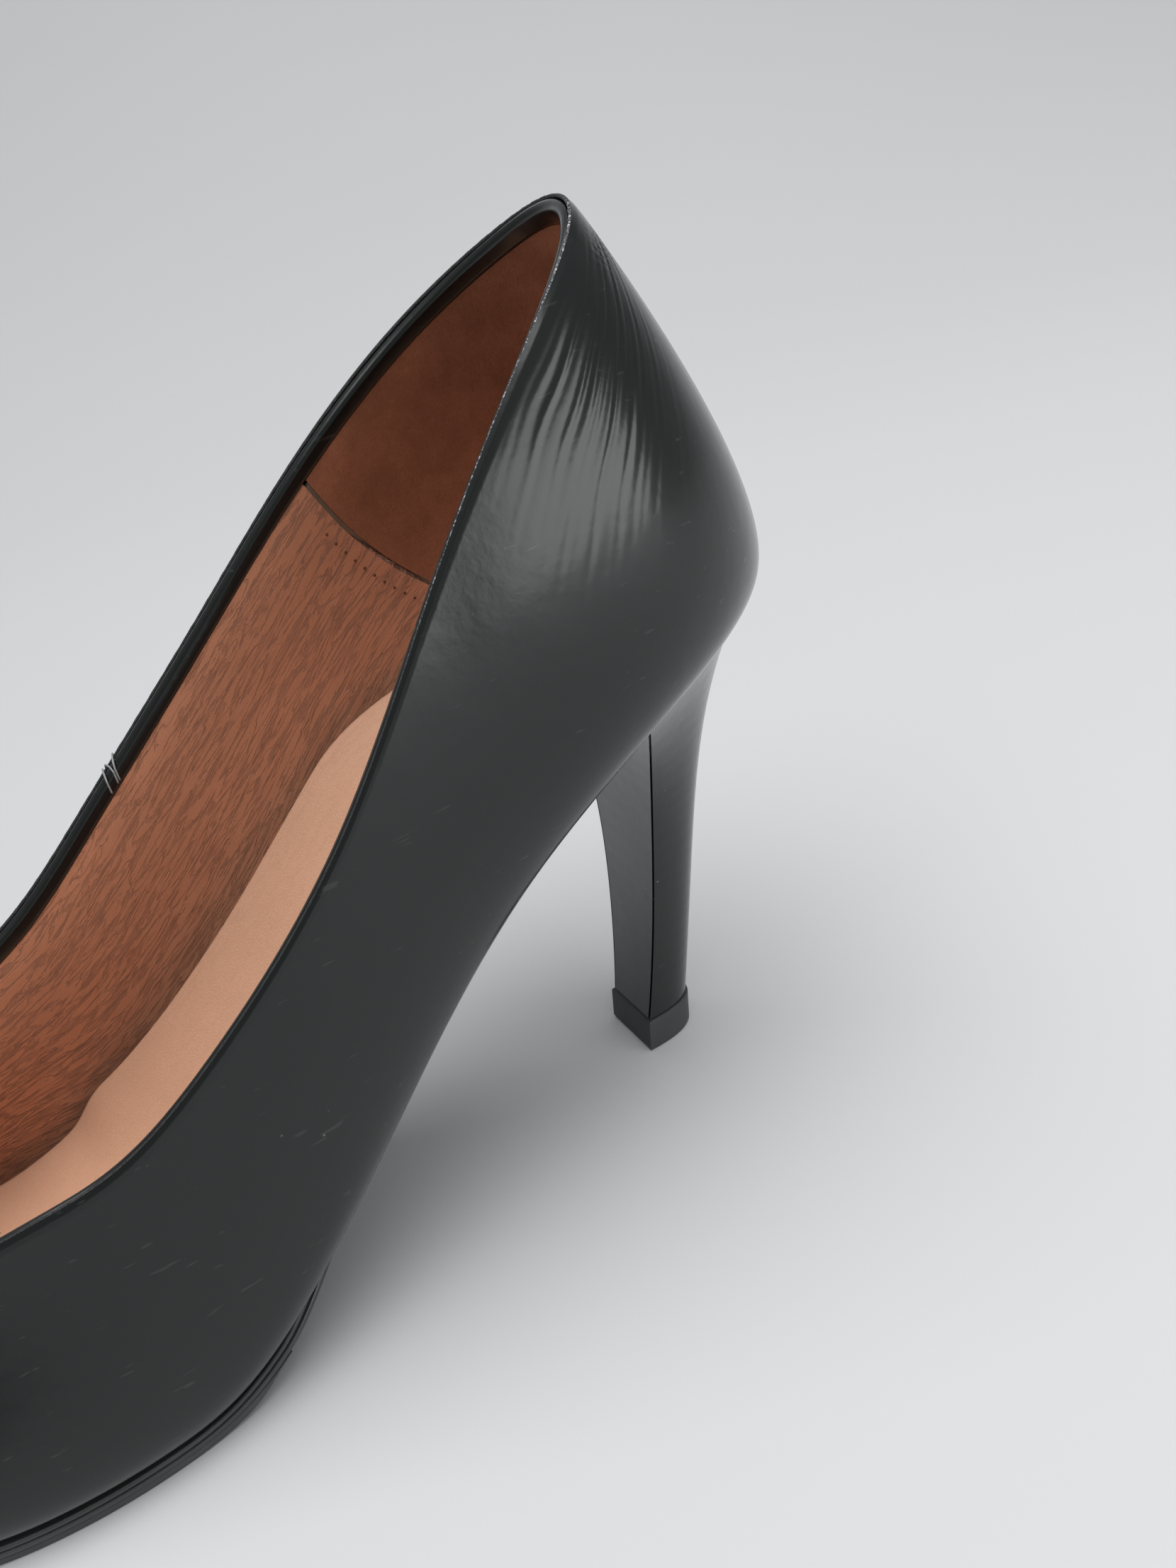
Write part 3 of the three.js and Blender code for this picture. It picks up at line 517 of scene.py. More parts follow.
def cut_edge(name, color):
    """Cut edge: black, with a broken double line of painted glints, light grey flecks, on the outer side."""
    made, tree, shader = material(name, color, 0.4, Specular_IOR_Level=0.5)
    where = coordinates(tree)
    flecks = ramp(tree, noise(tree, where, 2600, 2, 0.6), (0.5, 0.0), (0.6, 1.0))
    source = tree.nodes.new("ShaderNodeTexCoord")
    split = tree.nodes.new("ShaderNodeSeparateXYZ")
    tree.links.new(source.outputs["UV"], split.inputs[0])
    # painted highlight: the band on the outer side of the topline where the flecks show as glints
    painted_glint_band = ramp(tree, split.outputs["X"], (0.33, 0.0), (0.37, 1.0), (0.465, 1.0), (0.49, 0.0))
    mask = math_node(tree, "MULTIPLY", flecks, painted_glint_band)
    dull = tuple(c * 0.5 for c in color)
    # painted glints: the flecks turn light grey in the base colour
    tree.links.new(mixed(tree, mask, dull, (0.55, 0.53, 0.58)), shader.inputs["Base Color"])
    tree.links.new(math_node(tree, "SUBTRACT", 0.5, scaled(tree, mask, 0.2)), shader.inputs["Roughness"])
    bump(tree, shader, flecks, 0.0002)
    return made


def lining_leather(name, color, dark, crease=1.0, roughness=0.5):
    made, tree, shader = material(
        name, color, roughness, Sheen_Weight=0.1, Sheen_Roughness=0.45, Specular_IOR_Level=0.35,
    )
    where = coordinates(tree)
    grain = group_node(tree, shared("leather_grain"), Vector=where, Scale=1900.0)
    patch = noise(tree, where, 45, 4, 0.6)
    folds = noise(tree, coordinates(tree, "UV", (17, 15, 1)), 3.4, 5, 0.62, 0.9)
    lines = ramp(tree, folds, (0.46, 0.0), (0.5, 1.0), (0.54, 0.0))
    tone = mixed(tree, patch, dark, color)
    # painted shade: the fold lines are darkened in the base colour, besides their dent in the bump
    tone = mixed(tree, scaled(tree, lines, 0.2 * crease), tone, tuple(c * 0.4 for c in dark))
    # painted shade: the grain's valleys are darkened in the base colour
    tone = mixed(tree, scaled(tree, grain.outputs["Valleys"], 0.22), tone, tuple(c * 0.6 for c in dark))
    tree.links.new(tone, shader.inputs["Base Color"])
    rough = math_node(tree, "ADD", scaled(tree, patch, 0.2), roughness - 0.1)
    tree.links.new(rough, shader.inputs["Roughness"])
    height = total(
        tree, scaled(tree, grain.outputs["Height"], 0.05), scaled(tree, lines, -0.32 * crease),
        scaled(tree, patch, 0.8),
    )
    bump(tree, shader, height, 0.0004)
    return made


def suede(name, color, light):
    made, tree, shader = material(
        name, color, 0.95, Sheen_Weight=0.35, Sheen_Roughness=0.6, Specular_IOR_Level=0.1,
    )
    shader.inputs["Sheen Tint"].default_value = (*light[:3], 1)
    where = coordinates(tree)
    nap = noise(tree, where, 2200, 4, 0.7)
    patch = noise(tree, where, 70, 5, 0.65)
    brushed = noise(tree, coordinates(tree, scale=(1, 1, 0.25)), 420, 3, 0.6)
    tone = mixed(tree, ramp(tree, patch, (0.3, 0.0), (0.75, 1.0)), color, light)
    tone = mixed(tree, scaled(tree, nap, 0.6), tone, tuple(c * 0.45 for c in color))
    tree.links.new(tone, shader.inputs["Base Color"])
    bump(tree, shader, total(tree, nap, scaled(tree, brushed, 0.8)), 0.00025)
    return made


def rubber(name, color, roughness):
    made, tree, shader = material(name, color, roughness, Specular_IOR_Level=0.4)
    where = coordinates(tree)
    fine = noise(tree, where, 1800, 3, 0.6)
    patch = noise(tree, where, 90, 4, 0.6)
    dust = group_node(tree, shared("dust_specks"), Vector=where, Amount=0.6)
    tone = mixed(tree, patch, tuple(c * 0.7 for c in color), tuple(c * 1.5 for c in color))
    tree.links.new(mixed(tree, dust.outputs["Mask"], tone, (0.2, 0.19, 0.18)), shader.inputs["Base Color"])
    rough = math_node(tree, "ADD", scaled(tree, patch, 0.25), roughness - 0.12)
    tree.links.new(rough, shader.inputs["Roughness"])
    height = total(tree, scaled(tree, fine, 0.15), scaled(tree, patch, 0.3))
    bump(tree, shader, height, 0.0003)
    return made


def plain(name, color, roughness, scale=600, metallic=0.0, depth=0.0001):
    made, tree, shader = material(name, color, roughness, Metallic=metallic)
    where = coordinates(tree)
    speck = noise(tree, where, scale, 4, 0.6)
    tree.links.new(
        mixed(tree, speck, tuple(c * 0.7 for c in color), tuple(min(1, c * 1.25) for c in color)),
        shader.inputs["Base Color"],
    )
    rough = math_node(tree, "ADD", scaled(tree, speck, 0.2), roughness - 0.1)
    tree.links.new(rough, shader.inputs["Roughness"])
    bump(tree, shader, speck, depth)
    return made


# ---------- settings ----------
class PumpPatent(bpy.types.PropertyGroup):
    color: bpy.props.FloatVectorProperty(
        name="Colour", description="Colour of the patent leather", subtype="COLOR", size=3,
        min=0, max=1, default=(0.0026, 0.0044, 0.0043),
    )
    wrinkle: bpy.props.FloatProperty(
        name="Wrinkle depth", description="Depth of the wrinkles below the shoe's back",
        subtype="DISTANCE", unit="LENGTH", default=0.00008, min=0,
    )
    edge_color: bpy.props.FloatVectorProperty(
        name="Cut edge", description="Colour of the worn cut edge along the topline",
        subtype="COLOR", size=3, min=0, max=1, default=(0.06, 0.062, 0.065),
    )


class PumpLining(bpy.types.PropertyGroup):
    leather: bpy.props.FloatVectorProperty(
        name="Lining leather", description="Colour of the quarter lining", subtype="COLOR", size=3,
        min=0, max=1, default=(0.66, 0.29, 0.165),
    )
    grip: bpy.props.FloatVectorProperty(
        name="Heel grip", description="Colour of the suede heel grip", subtype="COLOR", size=3,
        min=0, max=1, default=(0.25, 0.1, 0.056),
    )
    sock: bpy.props.FloatVectorProperty(
        name="Sock", description="Colour of the sock under the foot", subtype="COLOR", size=3,
        min=0, max=1, default=(0.74, 0.42, 0.27),
    )
    arch: bpy.props.FloatProperty(
        name="Arch", description="Height the sock climbs along the inner arch",
        subtype="DISTANCE", unit="LENGTH", default=0.009, min=0, max=0.012,
    )
    crease: bpy.props.FloatProperty(
        name="Crease depth", description="Depth of the long folds in the lining",
        subtype="DISTANCE", unit="LENGTH", default=0.00006, min=0,
    )


class PumpBottom(bpy.types.PropertyGroup):
    color: bpy.props.FloatVectorProperty(
        name="Rubber", description="Colour of the sole and the heel tip", subtype="COLOR", size=3,
        min=0, max=1, default=(0.034, 0.036, 0.037),
    )
    groove: bpy.props.FloatProperty(
        name="Edge groove", description="Depth of the groove along the sole's edge",
        subtype="DISTANCE", unit="LENGTH", default=0.0006, min=0,
    )


class PumpStage(bpy.types.PropertyGroup):
    floor: bpy.props.FloatVectorProperty(
        name="Floor", description="Colour of the floor", subtype="COLOR", size=3, min=0, max=1,
        default=(0.62, 0.63, 0.64),
    )
    softness: bpy.props.FloatProperty(
        name="Light size", description="Width of the soft light beside the shoe", subtype="DISTANCE",
        unit="LENGTH", default=0.8, min=0.05,
    )
    main_power: bpy.props.FloatProperty(
        name="Main light", description="Power of the light overhead", unit="POWER", default=24.0,
        min=0,
    )
    floor_reach: bpy.props.FloatProperty(
        name="Floor reach", description="Distance from the shoe to where the floor starts to rise",
        subtype="DISTANCE", unit="LENGTH", default=0.5, min=0.2,
    )


# ---------- upper ----------
SEAM_U = float(edge_u(112.0, inner=True))
SEAM_GAP = 0.006


def wrinkle_height(u, t):
    """Wrinkles that fan from the back of the topline over the quarters, as shares of a depth."""
    along, down = over_wall(u, t)
    outer = np.where(along < 0, 1.0, 0.55)
    reach = np.hypot(along, down)
    fan = np.arctan2(down, np.abs(along))
    sway = fan + 0.016 * np.sin(reach * 0.16 + 1) + 0.003 * np.sin(reach * 0.5)
    waves = (
        np.sin(sway * 116) + 0.7 * np.sin(sway * 73 + 1.7 + np.sin(reach * 0.13))
        + 0.4 * np.sin(sway * 181 + 0.6)
    )
    where = np.exp(-(((fan - 0.34) / 0.34) ** 2)) * smooth((reach - 5) / 9)
    return waves * where * (1 - smooth((reach - 24) / 36)) * outer


UPPER_OUTLINE = (
    [(-1.0, UPPER), (-1.0, 0.5), (-1.0, 0.0), (-0.5, 0)]
    + [(0.06 * i, 0) for i in range(12)] + [(0.68 + 0.02 * i, 0) for i in range(15)]
    + [(0.975, 0), (0.99, 0.1), (1.0, 0.35), (1.0, 0.7), (0.99, 0.95), (0.96, UPPER)]
    + [(0.6, UPPER), (0.2, UPPER), (-1.0, UPPER)]
)


def upper_piece(name, start, end, columns, closer):
    """One outer piece; closer > 1 crowds its columns towards the end, closer < 1 the start."""
    depth = bpy.context.scene.pump_patent.wrinkle * 1000

    def across(a):
        return mix(start, end, 1 - (1 - a) ** closer if closer > 1 else a ** (1 / closer))

    def place(a, b):
        u = across(a)
        t, d = section_at(UPPER_OUTLINE, b)
        t = np.where(t > 0, t * below(u, 0.16), t)
        shown = smooth((UPPER - d) / UPPER) * smooth(t / 0.1) * smooth((0.985 - t) / 0.04)
        return under(u, t, d - wrinkle_height(u, t) * depth * shown)

    def uv(a, b):
        t, _ = section_at(UPPER_OUTLINE, b)
        return across(a) / STATIONS, t

    return grid_piece(name, columns, (len(UPPER_OUTLINE) - 1) * 4, place, uv)


class PUMP_OT_upper(bpy.types.Operator):
    """Patent outer pieces: the vamp with the outer quarter, and the inner quarter"""

    bl_idname = "pump.upper"
    bl_label = "Upper"

    def execute(self, context):
        patent = patent_leather("patent_leather", context.scene.pump_patent.color)
        vamp = upper_piece("upper_vamp_skin", SEAM_U + SEAM_GAP - STATIONS, HEEL_U - SEAM_GAP, 560, 1.9)
        dress(vamp, patent, "patent_leather", "upper_vamp")
        quarter = upper_piece("upper_quarter_skin", HEEL_U + SEAM_GAP, SEAM_U - SEAM_GAP, 300, 0.65)
        dress(quarter, patent, "patent_leather", "upper_medial_quarter")
        return {"FINISHED"}


class PUMP_OT_topline(bpy.types.Operator):
    """Topline: the cut edge with its painted glints, and the patent binding that turns down inside"""

    bl_idname = "pump.topline"
    bl_label = "Topline"

    def execute(self, context):
        settings = context.scene.pump_patent
        edge_material = cut_edge("cut_edge", settings.edge_color)
        outline = [
            (0.6, 0.42), (0.2, 0.4), (0.04, 0.52), (0, 0.7), (0.04, 0.88), (0.3, 1.0), (0.8, 0.7),
            (0.6, 0.42),
        ]

        def bead(a, b):
            u = a * STATIONS
            down, depth = section_at(outline, b)
            rough = 0.05 * np.sin(u * 61) * np.sin(u * 23 + 1)
            return under(u, below(u, np.maximum(down + rough, 0)), depth)

        obj = grid_piece("topline_cut_edge", 900, 14, bead)
        dress(obj, edge_material, "patent_leather", "topline_tape")

        band = [
            (0.75, 1.2), (0.35, 1.25), (0.1, 1.6), (0.1, 2.1), (0.35, 2.6), (0.9, 2.95), (2.0, 3.05),
            (3.2, 3.1), (BINDING_REACH, 2.9), (BINDING_REACH, 2.5), (2.0, 2.35), (0.9, 1.9), (0.75, 1.2),
        ]

        def turned_in(a, b):
            u = a * STATIONS
            down, depth = section_at(band, b)
            return under(u, below(u, down), depth)

        patent = patent_leather("binding_patent", settings.color)
        obj = grid_piece("topline_band", 600, 36, turned_in)
        dress(obj, patent, "patent_leather", "topline_binding")

        grey = plain("tack_thread", (0.3, 0.31, 0.31), 0.8, 1200)
        for i, (shift, slant) in enumerate(((-0.045, 0.03), (0.0, -0.02), (0.04, 0.015))):
            path = []
            for down, depth in (
                (2.6, -0.05), (1.6, -0.2), (0.6, -0.2), (-0.15, 0.2), (-0.3, 1.2), (-0.2, 2.4),
                (0.5, 3.25), (1.8, 3.3), (2.9, 3.15),
            ):
                u = SEAM_U + shift + slant * (depth / 3 - 0.5)
                path.append(under(u, below(u, max(down, 0)) + max(-down, 0) / 50, depth))
            tack = thread(f"bar_tack_{i + 1}", path, 0.16)
            dress(tack, grey, "patent_leather")
        return {"FINISHED"}


# ---------- inside ----------
def seam_u(t, inner):
    """u of the slanting seam where the lining overlaps the heel grip."""
    u = 12.94 - (0.98 - np.asarray(t, float)) * 1.12
    return u if inner else STATIONS - u


def crease_height(u, t):
    """Long soft folds of the lining, as shares of a depth."""
    along, down = over_wall(u, t)
    sway = down + 0.7 * np.sin(along * 0.11) + 0.3 * np.sin(along * 0.31 + down * 0.2)
    fade = 0.55 + 0.45 * np.sin(along * 0.09 + down * 0.35)
    return (np.sin(sway * 2.7) + 0.6 * np.sin(sway * 4.3 + 1.4)) * fade


def beads(name, centres, radius):
    """Small round beads at points given in millimetres."""
    bm = bmesh.new()
    for centre in world(centres):
        bmesh.ops.create_icosphere(
            bm, subdivisions=2, radius=radius / 1000, matrix=Matrix.Translation(Vector(centre)),
        )
    return finished(name, bm)


def thread(name, path, radius):
    """A thread along points given in millimetres."""
    path = np.array(path, float)
    at = np.linspace(0, 1, len(path))

    def point(a):
        return np.stack([np.interp(a, at, path[:, i]) for i in range(3)], -1)

    def place(a, b):
        forwards = point(np.minimum(a + 0.02, 1)) - point(np.maximum(a - 0.02, 0))
        forwards /= np.linalg.norm(forwards, axis=-1, keepdims=True)
        side = np.cross(forwards, np.array([0, 1.0, 0.02]))
        side /= np.linalg.norm(side, axis=-1, keepdims=True)
        other = np.cross(side, forwards)
        turn = b[:, None] * 2 * np.pi
        thin = radius * smooth(np.minimum(a, 1 - a) / 0.03 + 0.25)[:, None]
        return point(a) + thin * (np.cos(turn) * side + np.sin(turn) * other)

    return grid_piece(name, 40, 10, place)


class PUMP_OT_linings(bpy.types.Operator):
    """Leather lining of the vamp and quarters, and the suede heel grip over it"""

    bl_idname = "pump.linings"
    bl_label = "Linings"

    def execute(self, context):
        settings = context.scene.pump_lining
        dark = tuple(c * 0.74 for c in settings.leather)
        leather = lining_leather("quarter_lining", settings.leather, dark)
        nap = suede("heel_grip_suede", settings.grip, tuple(min(1, c * 2.1) for c in settings.grip))
        outline = [
            (-0.9, 3.1), (0.0, 3.1), (0.2, 3.1), (0.4, 3.1), (0.6, 3.1), (0.8, 3.1), (0.97, 3.1),
            (1.0, 2.9), (1.0, 2.5), (0.7, 2.45), (0.3, 2.45), (-0.9, 2.45), (-0.9, 3.1),
        ]
        depth = settings.crease * 1000

        def wall(first, last, folds):
            def place(a, b):
                t, d = section_at(outline, b)
                u = mix(first(t), last(t), a)
                t = np.where(t > 0, t * below(u, BINDING_REACH + 0.15), t)
                inwards = smooth((d - 2.5) / 0.6) * smooth(t / 0.1) * smooth((0.9 - t) / 0.2)
                return under(u, t, d + crease_height(u, t) * folds * inwards)
            return place

        def uv(first, last):
            def marks(a, b):
                t, _ = section_at(outline, b)
                return mix(first(t), last(t), a) / STATIONS, t
            return marks

        def front(t):
            return seam_u(np.clip(t, 0, 1), True) - STATIONS

        def rear(t):
            return seam_u(np.clip(t, 0, 1), False)

        obj = grid_piece("vamp_lining_skin", 440, 108, wall(front, rear, depth), uv(front, rear))
        dress(obj, leather, "lining_leather", "vamp_lining")
        holes = []
        for inner in (False, True):
            for t in np.arange(0.06, 0.86, 0.034):
                u = seam_u(t, inner) + (0.13 if inner else -0.13)
                holes.append(under(u, t, WALL - 0.02))
        # dark beads at the stitch holes: partly the thread's colour, partly painted shade in the holes
        stitches = beads("lining_stitches", np.array(holes), 0.27)
        dress(stitches, plain("stitch_thread_and_hole_shade", (0.12, 0.045, 0.022), 0.8, 900), "lining_leather")

        def grip_from(t):
            return seam_u(np.clip(t, 0, 1), False) + 0.03

        def grip_to(t):
            return seam_u(np.clip(t, 0, 1), True) - 0.03

        obj = grid_piece("heel_grip_skin", 300, 60, wall(grip_from, grip_to, 0.0), uv(grip_from, grip_to))
        dress(obj, nap, "suede", "heel_grip_lining")
        return {"FINISHED"}


# Shares of the wall's height: where the sock meets it, and more for each millimetre of arch.
SOCK_ON_WALL, SOCK_PER_ARCH = 0.16, 0.0168


class PUMP_OT_footbed(bpy.types.Operator):
    """Sock over the foam pads and boards"""

    bl_idname = "pump.footbed"
    bl_label = "Footbed"

    def execute(self, context):
        settings = context.scene.pump_lining
        leather = lining_leather("sock_leather", settings.sock, tuple(c * 0.84 for c in settings.sock), 0.12)
        rear = float(edge(HEEL_U, -1.0)[0]) + 0.5
        front = float(edge(0.0, -6.0)[0]) - 1.5

        arch = settings.arch * 1000

        def place(a, b):
            s = mix(rear, front, (1 - np.cos(np.pi * np.clip(a, 0, 1))) / 2)
            lean = smooth((s / LAST_LENGTH - 0.62) / 0.38) * (FOOTBED + SOCK - WALL)
            d = -0.9 - lean
            outer, inner = edge_x(s, False, d), edge_x(s, True, d)
            w, h = section_at([
                (0, 0.45), (0.004, 0.75), (0.012, 0.9), (0.05, 0.85), (0.12, 0.8), (0.2, 0.8),
                (0.28, 0.8), (0.36, 0.8), (0.5, 0.8), (0.65, 0.8), (0.8, 0.8), (0.95, 0.85), (0.988, 0.9),
                (0.996, 0.75), (1, 0.45), (0.99, 0), (0.7, 0), (0.4, 0), (0.2, 0), (0.01, 0), (0, 0.45),
            ], b)
            waist = smooth((s - 34) / 34) * smooth((158 - s) / 34)
            lift = arch * waist * np.clip(1 - w / 0.42, 0, 1) ** 1.6
            climb = SOCK_ON_WALL + SOCK_PER_ARCH * arch * waist
            wall = under(edge_u(s, True), climb, WALL + 0.35)[..., 0]
            return on_bottom(mix(mix(inner, wall, waist), outer, w), s, FOOTBED + h + lift)

        obj = grid_piece("sock_sheet", 150, 120, place)
        dress(obj, leather, "lining_leather", "sock")
        holes = []
        for row in range(3):
            for x in np.arange(-19, 21, 2.6):
                s = 148 + 7.5 * row - 0.012 * (x + 2) ** 2
                holes.append(on_bottom(x, s, FOOTBED + SOCK - 0.06))
        marks = beads("sock_perforations", np.array(holes), 0.22)
        dress(marks, plain("perforation_shadow", (0.16, 0.07, 0.04), 0.9, 900), "lining_leather")
        return {"FINISHED"}


# ---------- bottom ----------
WAIST_EDGE, OUTSOLE_EDGE = -1.5, 2.6
WAIST_END, FOREPART = 108.0, 126.0
OUTSOLE_REAR, HALF_SOLE_IN, HALF_SOLE_SKIVE = 36.6, 0.5, 9.0


def sole_reach(s):
    return mix(WAIST_EDGE, OUTSOLE_EDGE, smooth((s - WAIST_END) / (FOREPART - WAIST_END)))


def sole_piece(name, rear, front, reach, outline, columns, skive=0.0):
    """A sole between two s, its edge shaped by an outline of (step in from the edge, height).

    Over the length of the skive it thins out towards its rear end."""
    top = max(h for _, h in outline)

    def place(a, b):
        s = mix(rear, front, (1 - np.cos(np.pi * a)) / 2)
        d = reach(s)
        outer, inner = edge_x(s, False, d), edge_x(s, True, d)
        step, h = section_at(outline, b)
        if skive:
            h = top - (top - h) * mix(0.2, 1, smooth((s - rear) / skive))
        half = (outer - inner) / 2
        x = np.where(step >= 0, outer - np.minimum(step, half), inner + np.minimum(-step, half))
        return on_bottom(x, s, h)

    return grid_piece(name, columns, (len(outline) - 1) * 3, place)


def closed_sole(side):
    """A sole's whole outline from that of one side, which runs from its top down to its bottom."""
    high, low = side[0][1], side[-1][1]
    mirrored = [(-step - 1e-6, h) for step, h in reversed(side)]
    return side + [(20, low), (-20, low)] + mirrored + [(-20, high), (20, high), side[0]]


class PUMP_OT_bottom(bpy.types.Operator):
    """Outsole with its grooved edge, and the half sole under the forepart"""

    bl_idname = "pump.bottom"
    bl_label = "Bottom"

    def execute(self, context):
        settings = context.scene.pump_bottom
        groove = settings.groove * 1000
        black = rubber("sole_rubber", settings.color, 0.34)
        tread = rubber("tread_rubber", tuple(c * 1.3 for c in settings.color), 0.6)
        low, high = -2.7, -0.5
        side = [
            (0.7, high), (0.3, high), (0.08, high - 0.16), (0.0, high - 0.4), (0.08, high - 0.72),
            (groove, high - 0.95), (groove, high - 1.05), (0.1, high - 1.25), (0.02, high - 1.6),
            (0.2, low + 0.12), (0.5, low),
        ]
        outline = closed_sole(side)
        obj = sole_piece(
            "outsole_sheet", OUTSOLE_REAR, float(edge(0.0, OUTSOLE_EDGE)[0]) - 0.3, sole_reach, outline, 160,
        )
        dress(obj, black, "sole_rubber", "outsole")
        low, high = -4.5, -3.0
        side = [
            (0.5, high), (0.15, high - 0.1), (0.0, high - 0.35), (0.0, low + 0.45), (0.15, low + 0.12),
            (0.5, low),
        ]
        outline = closed_sole(side)
        obj = sole_piece(
            "half_sole_sheet", FOREPART, float(edge(0.0, OUTSOLE_EDGE - HALF_SOLE_IN)[0]) - 0.3,
            lambda s: sole_reach(s) - HALF_SOLE_IN, outline, 110, HALF_SOLE_SKIVE,
        )
        dress(obj, tread, "sole_rubber", "half_sole")
        return {"FINISHED"}


# ---------- heel ----------
TIP_WIDTH, TIP_DEPTH, TIP_THICKNESS, TIP_STEP = 14.4, 11.8, 6.6, 0.4
TIP_LEAN = math.tan(math.radians(9))  # the tip follows the tube in the heel
SEAT_FRONT, CUP_EDGE = 36.0, 0.8
WAIST_HEEL = (19.0, 34.2, 20.5)
NECK_HEEL = (26.0, 31.5, 12.0)
CUP_FLARE = 6
SQUARENESS = 0.72
HEEL_FOOT = TIP_THICKNESS + 0.3
HEEL_COVER, BREAST_COVER, BREAST_IN = 0.6, 0.55, 0.63


def power(v):
    return np.sign(v) * np.abs(v) ** SQUARENESS


def d_section(width, front, back, inset, a):
    x = (width / 2 - inset) * power(np.cos(a))
    s = front - inset - (front - back - 2 * inset) * np.maximum(0, power(np.sin(a)))
    return x, s


def heel_point(a, share, inset):
    """The heel's side and back at angle a and a share of its height, moved inwards by inset."""
    tip = d_section(
        TIP_WIDTH - 2 * TIP_STEP, TIP_FRONT - TIP_STEP, TIP_FRONT - TIP_DEPTH + TIP_STEP, inset, a,
    )
    waist = d_section(*WAIST_HEEL, inset, a)
    neck = d_section(*NECK_HEEL, inset, a)
    front, d = SEAT_FRONT - inset, CUP_EDGE - inset
    u = mix(edge_u(front, False, d), edge_u(front, True, d), a / np.pi)
    seat_s, seat_x, _, _ = edge(u, d)
    flare = share**CUP_FLARE
    out = []
    for c, seat in ((0, seat_x), (1, seat_s)):
        bow = 2 * waist[c] - (tip[c] + neck[c]) / 2
        bow = (1 - share) ** 2 * tip[c] + 2 * share * (1 - share) * bow + share**2 * neck[c]
        out.append(mix(bow, seat, flare))
    top = bottom(seat_s) - 0.3
    return np.stack([out[0], out[1], mix(HEEL_FOOT, top, share)], -1)


class PUMP_OT_heel(bpy.types.Operator):
    """Covered heel: the wrap round its sides and back, and the breast's cover"""

    bl_idname = "pump.heel"
    bl_label = "Heel"

    def execute(self, context):
        patent = patent_leather("heel_patent", tuple(c * 1.2 for c in context.scene.pump_patent.color))
        ripples(patent)

        def wrap(a, b):
            outer = [(i / 12, 0) for i in range(13)]
            inner = [(1 - i / 4, HEEL_COVER) for i in range(5)]
            angle, inset = section_at([*outer, *inner, (0, 0)], b)
            corner = smooth(np.minimum(angle, 1 - angle) / 0.02)
            return heel_point(angle * np.pi, a, inset + 0.06 * (1 - corner) * (inset < 0.3))

        obj = grid_piece("heel_wrap_skin", 120, 17 * 7, wrap)
        dress(obj, patent, "patent_leather", "heel_wrap")

        def breast(a, b):
            w, inset = section_at(
                [
                    (0, 0), (0.01, 0), (0.5, 0), (0.99, 0), (1, 0), (1, BREAST_COVER),
                    (0, BREAST_COVER), (0, 0),
                ], b,
            )
            right = heel_point(np.zeros_like(a), a, BREAST_IN)
            left = heel_point(np.full_like(a, np.pi), a, BREAST_IN)
            p = mix(left, right, w[:, None])
            p[:, 1] += 0.6 - inset
            p[:, 2] = np.minimum(p[:, 2], bottom(p[:, 1]) - 0.6)
            return p

        obj = grid_piece("heel_breast_skin", 80, 7 * 8, breast)
        dress(obj, patent, "patent_leather", "heel_breast_cover")
        return {"FINISHED"}


def ripples(made):
    """Faint ripples across the heel's covering, added to the finish."""
    tree = made.node_tree
    node = next(n for n in tree.nodes if n.bl_idname == "ShaderNodeBump")
    height = node.inputs["Height"].links[0].from_socket
    where = coordinates(tree)
    warp = noise(tree, where, 40, 2, 0.5)
    wave = tree.nodes.new("ShaderNodeTexWave")
    wave.wave_type = "BANDS"
    wave.bands_direction = "Z"
    wave.inputs["Scale"].default_value = 95
    wave.inputs["Distortion"].default_value = 2.2
    wave.inputs["Detail"].default_value = 2
    tree.links.new(where, wave.inputs["Vector"])
    rippled = total(tree, height, scaled(tree, wave.outputs["Fac"], 0.022), scaled(tree, warp, 0.15))
    tree.links.new(rippled, node.inputs["Height"])


class PUMP_OT_heel_tip(bpy.types.Operator):
    """Replaceable heel tip, with a worn lower edge"""

    bl_idname = "pump.heel_tip"
    bl_label = "Heel tip"

    def execute(self, context):
        black = rubber("tip_rubber", tuple(c * 1.1 for c in context.scene.pump_bottom.color), 0.5)

        def tip(a, b):
            z, inset = section_at([
                (0, 5.7), (0, 3), (0, 0.5), (0.12, 0.2), (0.4, 0.04), (0.8, 0), (3, 0), (6.2, 0),
                (6.48, 0.06), (TIP_THICKNESS, 0.3), (TIP_THICKNESS, 3), (TIP_THICKNESS, 5.7),
            ], b)
            turn = np.clip(a / 0.7, 0, 1) * np.pi
            x, s = d_section(TIP_WIDTH, TIP_FRONT, TIP_FRONT - TIP_DEPTH, inset, turn)
            straight = mix(-1, 1, (a - 0.7) / 0.3) * (TIP_WIDTH / 2 - inset)
            forwards = TIP_LEAN * (TIP_THICKNESS - z)
            x, s = np.where(a > 0.7, straight, x), np.where(a > 0.7, TIP_FRONT - inset, s)
            return np.stack([x, s + forwards, z], -1)

        obj = grid_piece("heel_tip_block", 200, 44, tip)
        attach(obj, "heel_tip")
        dress(obj, black, "sole_rubber", "heel_tip")
        return {"FINISHED"}


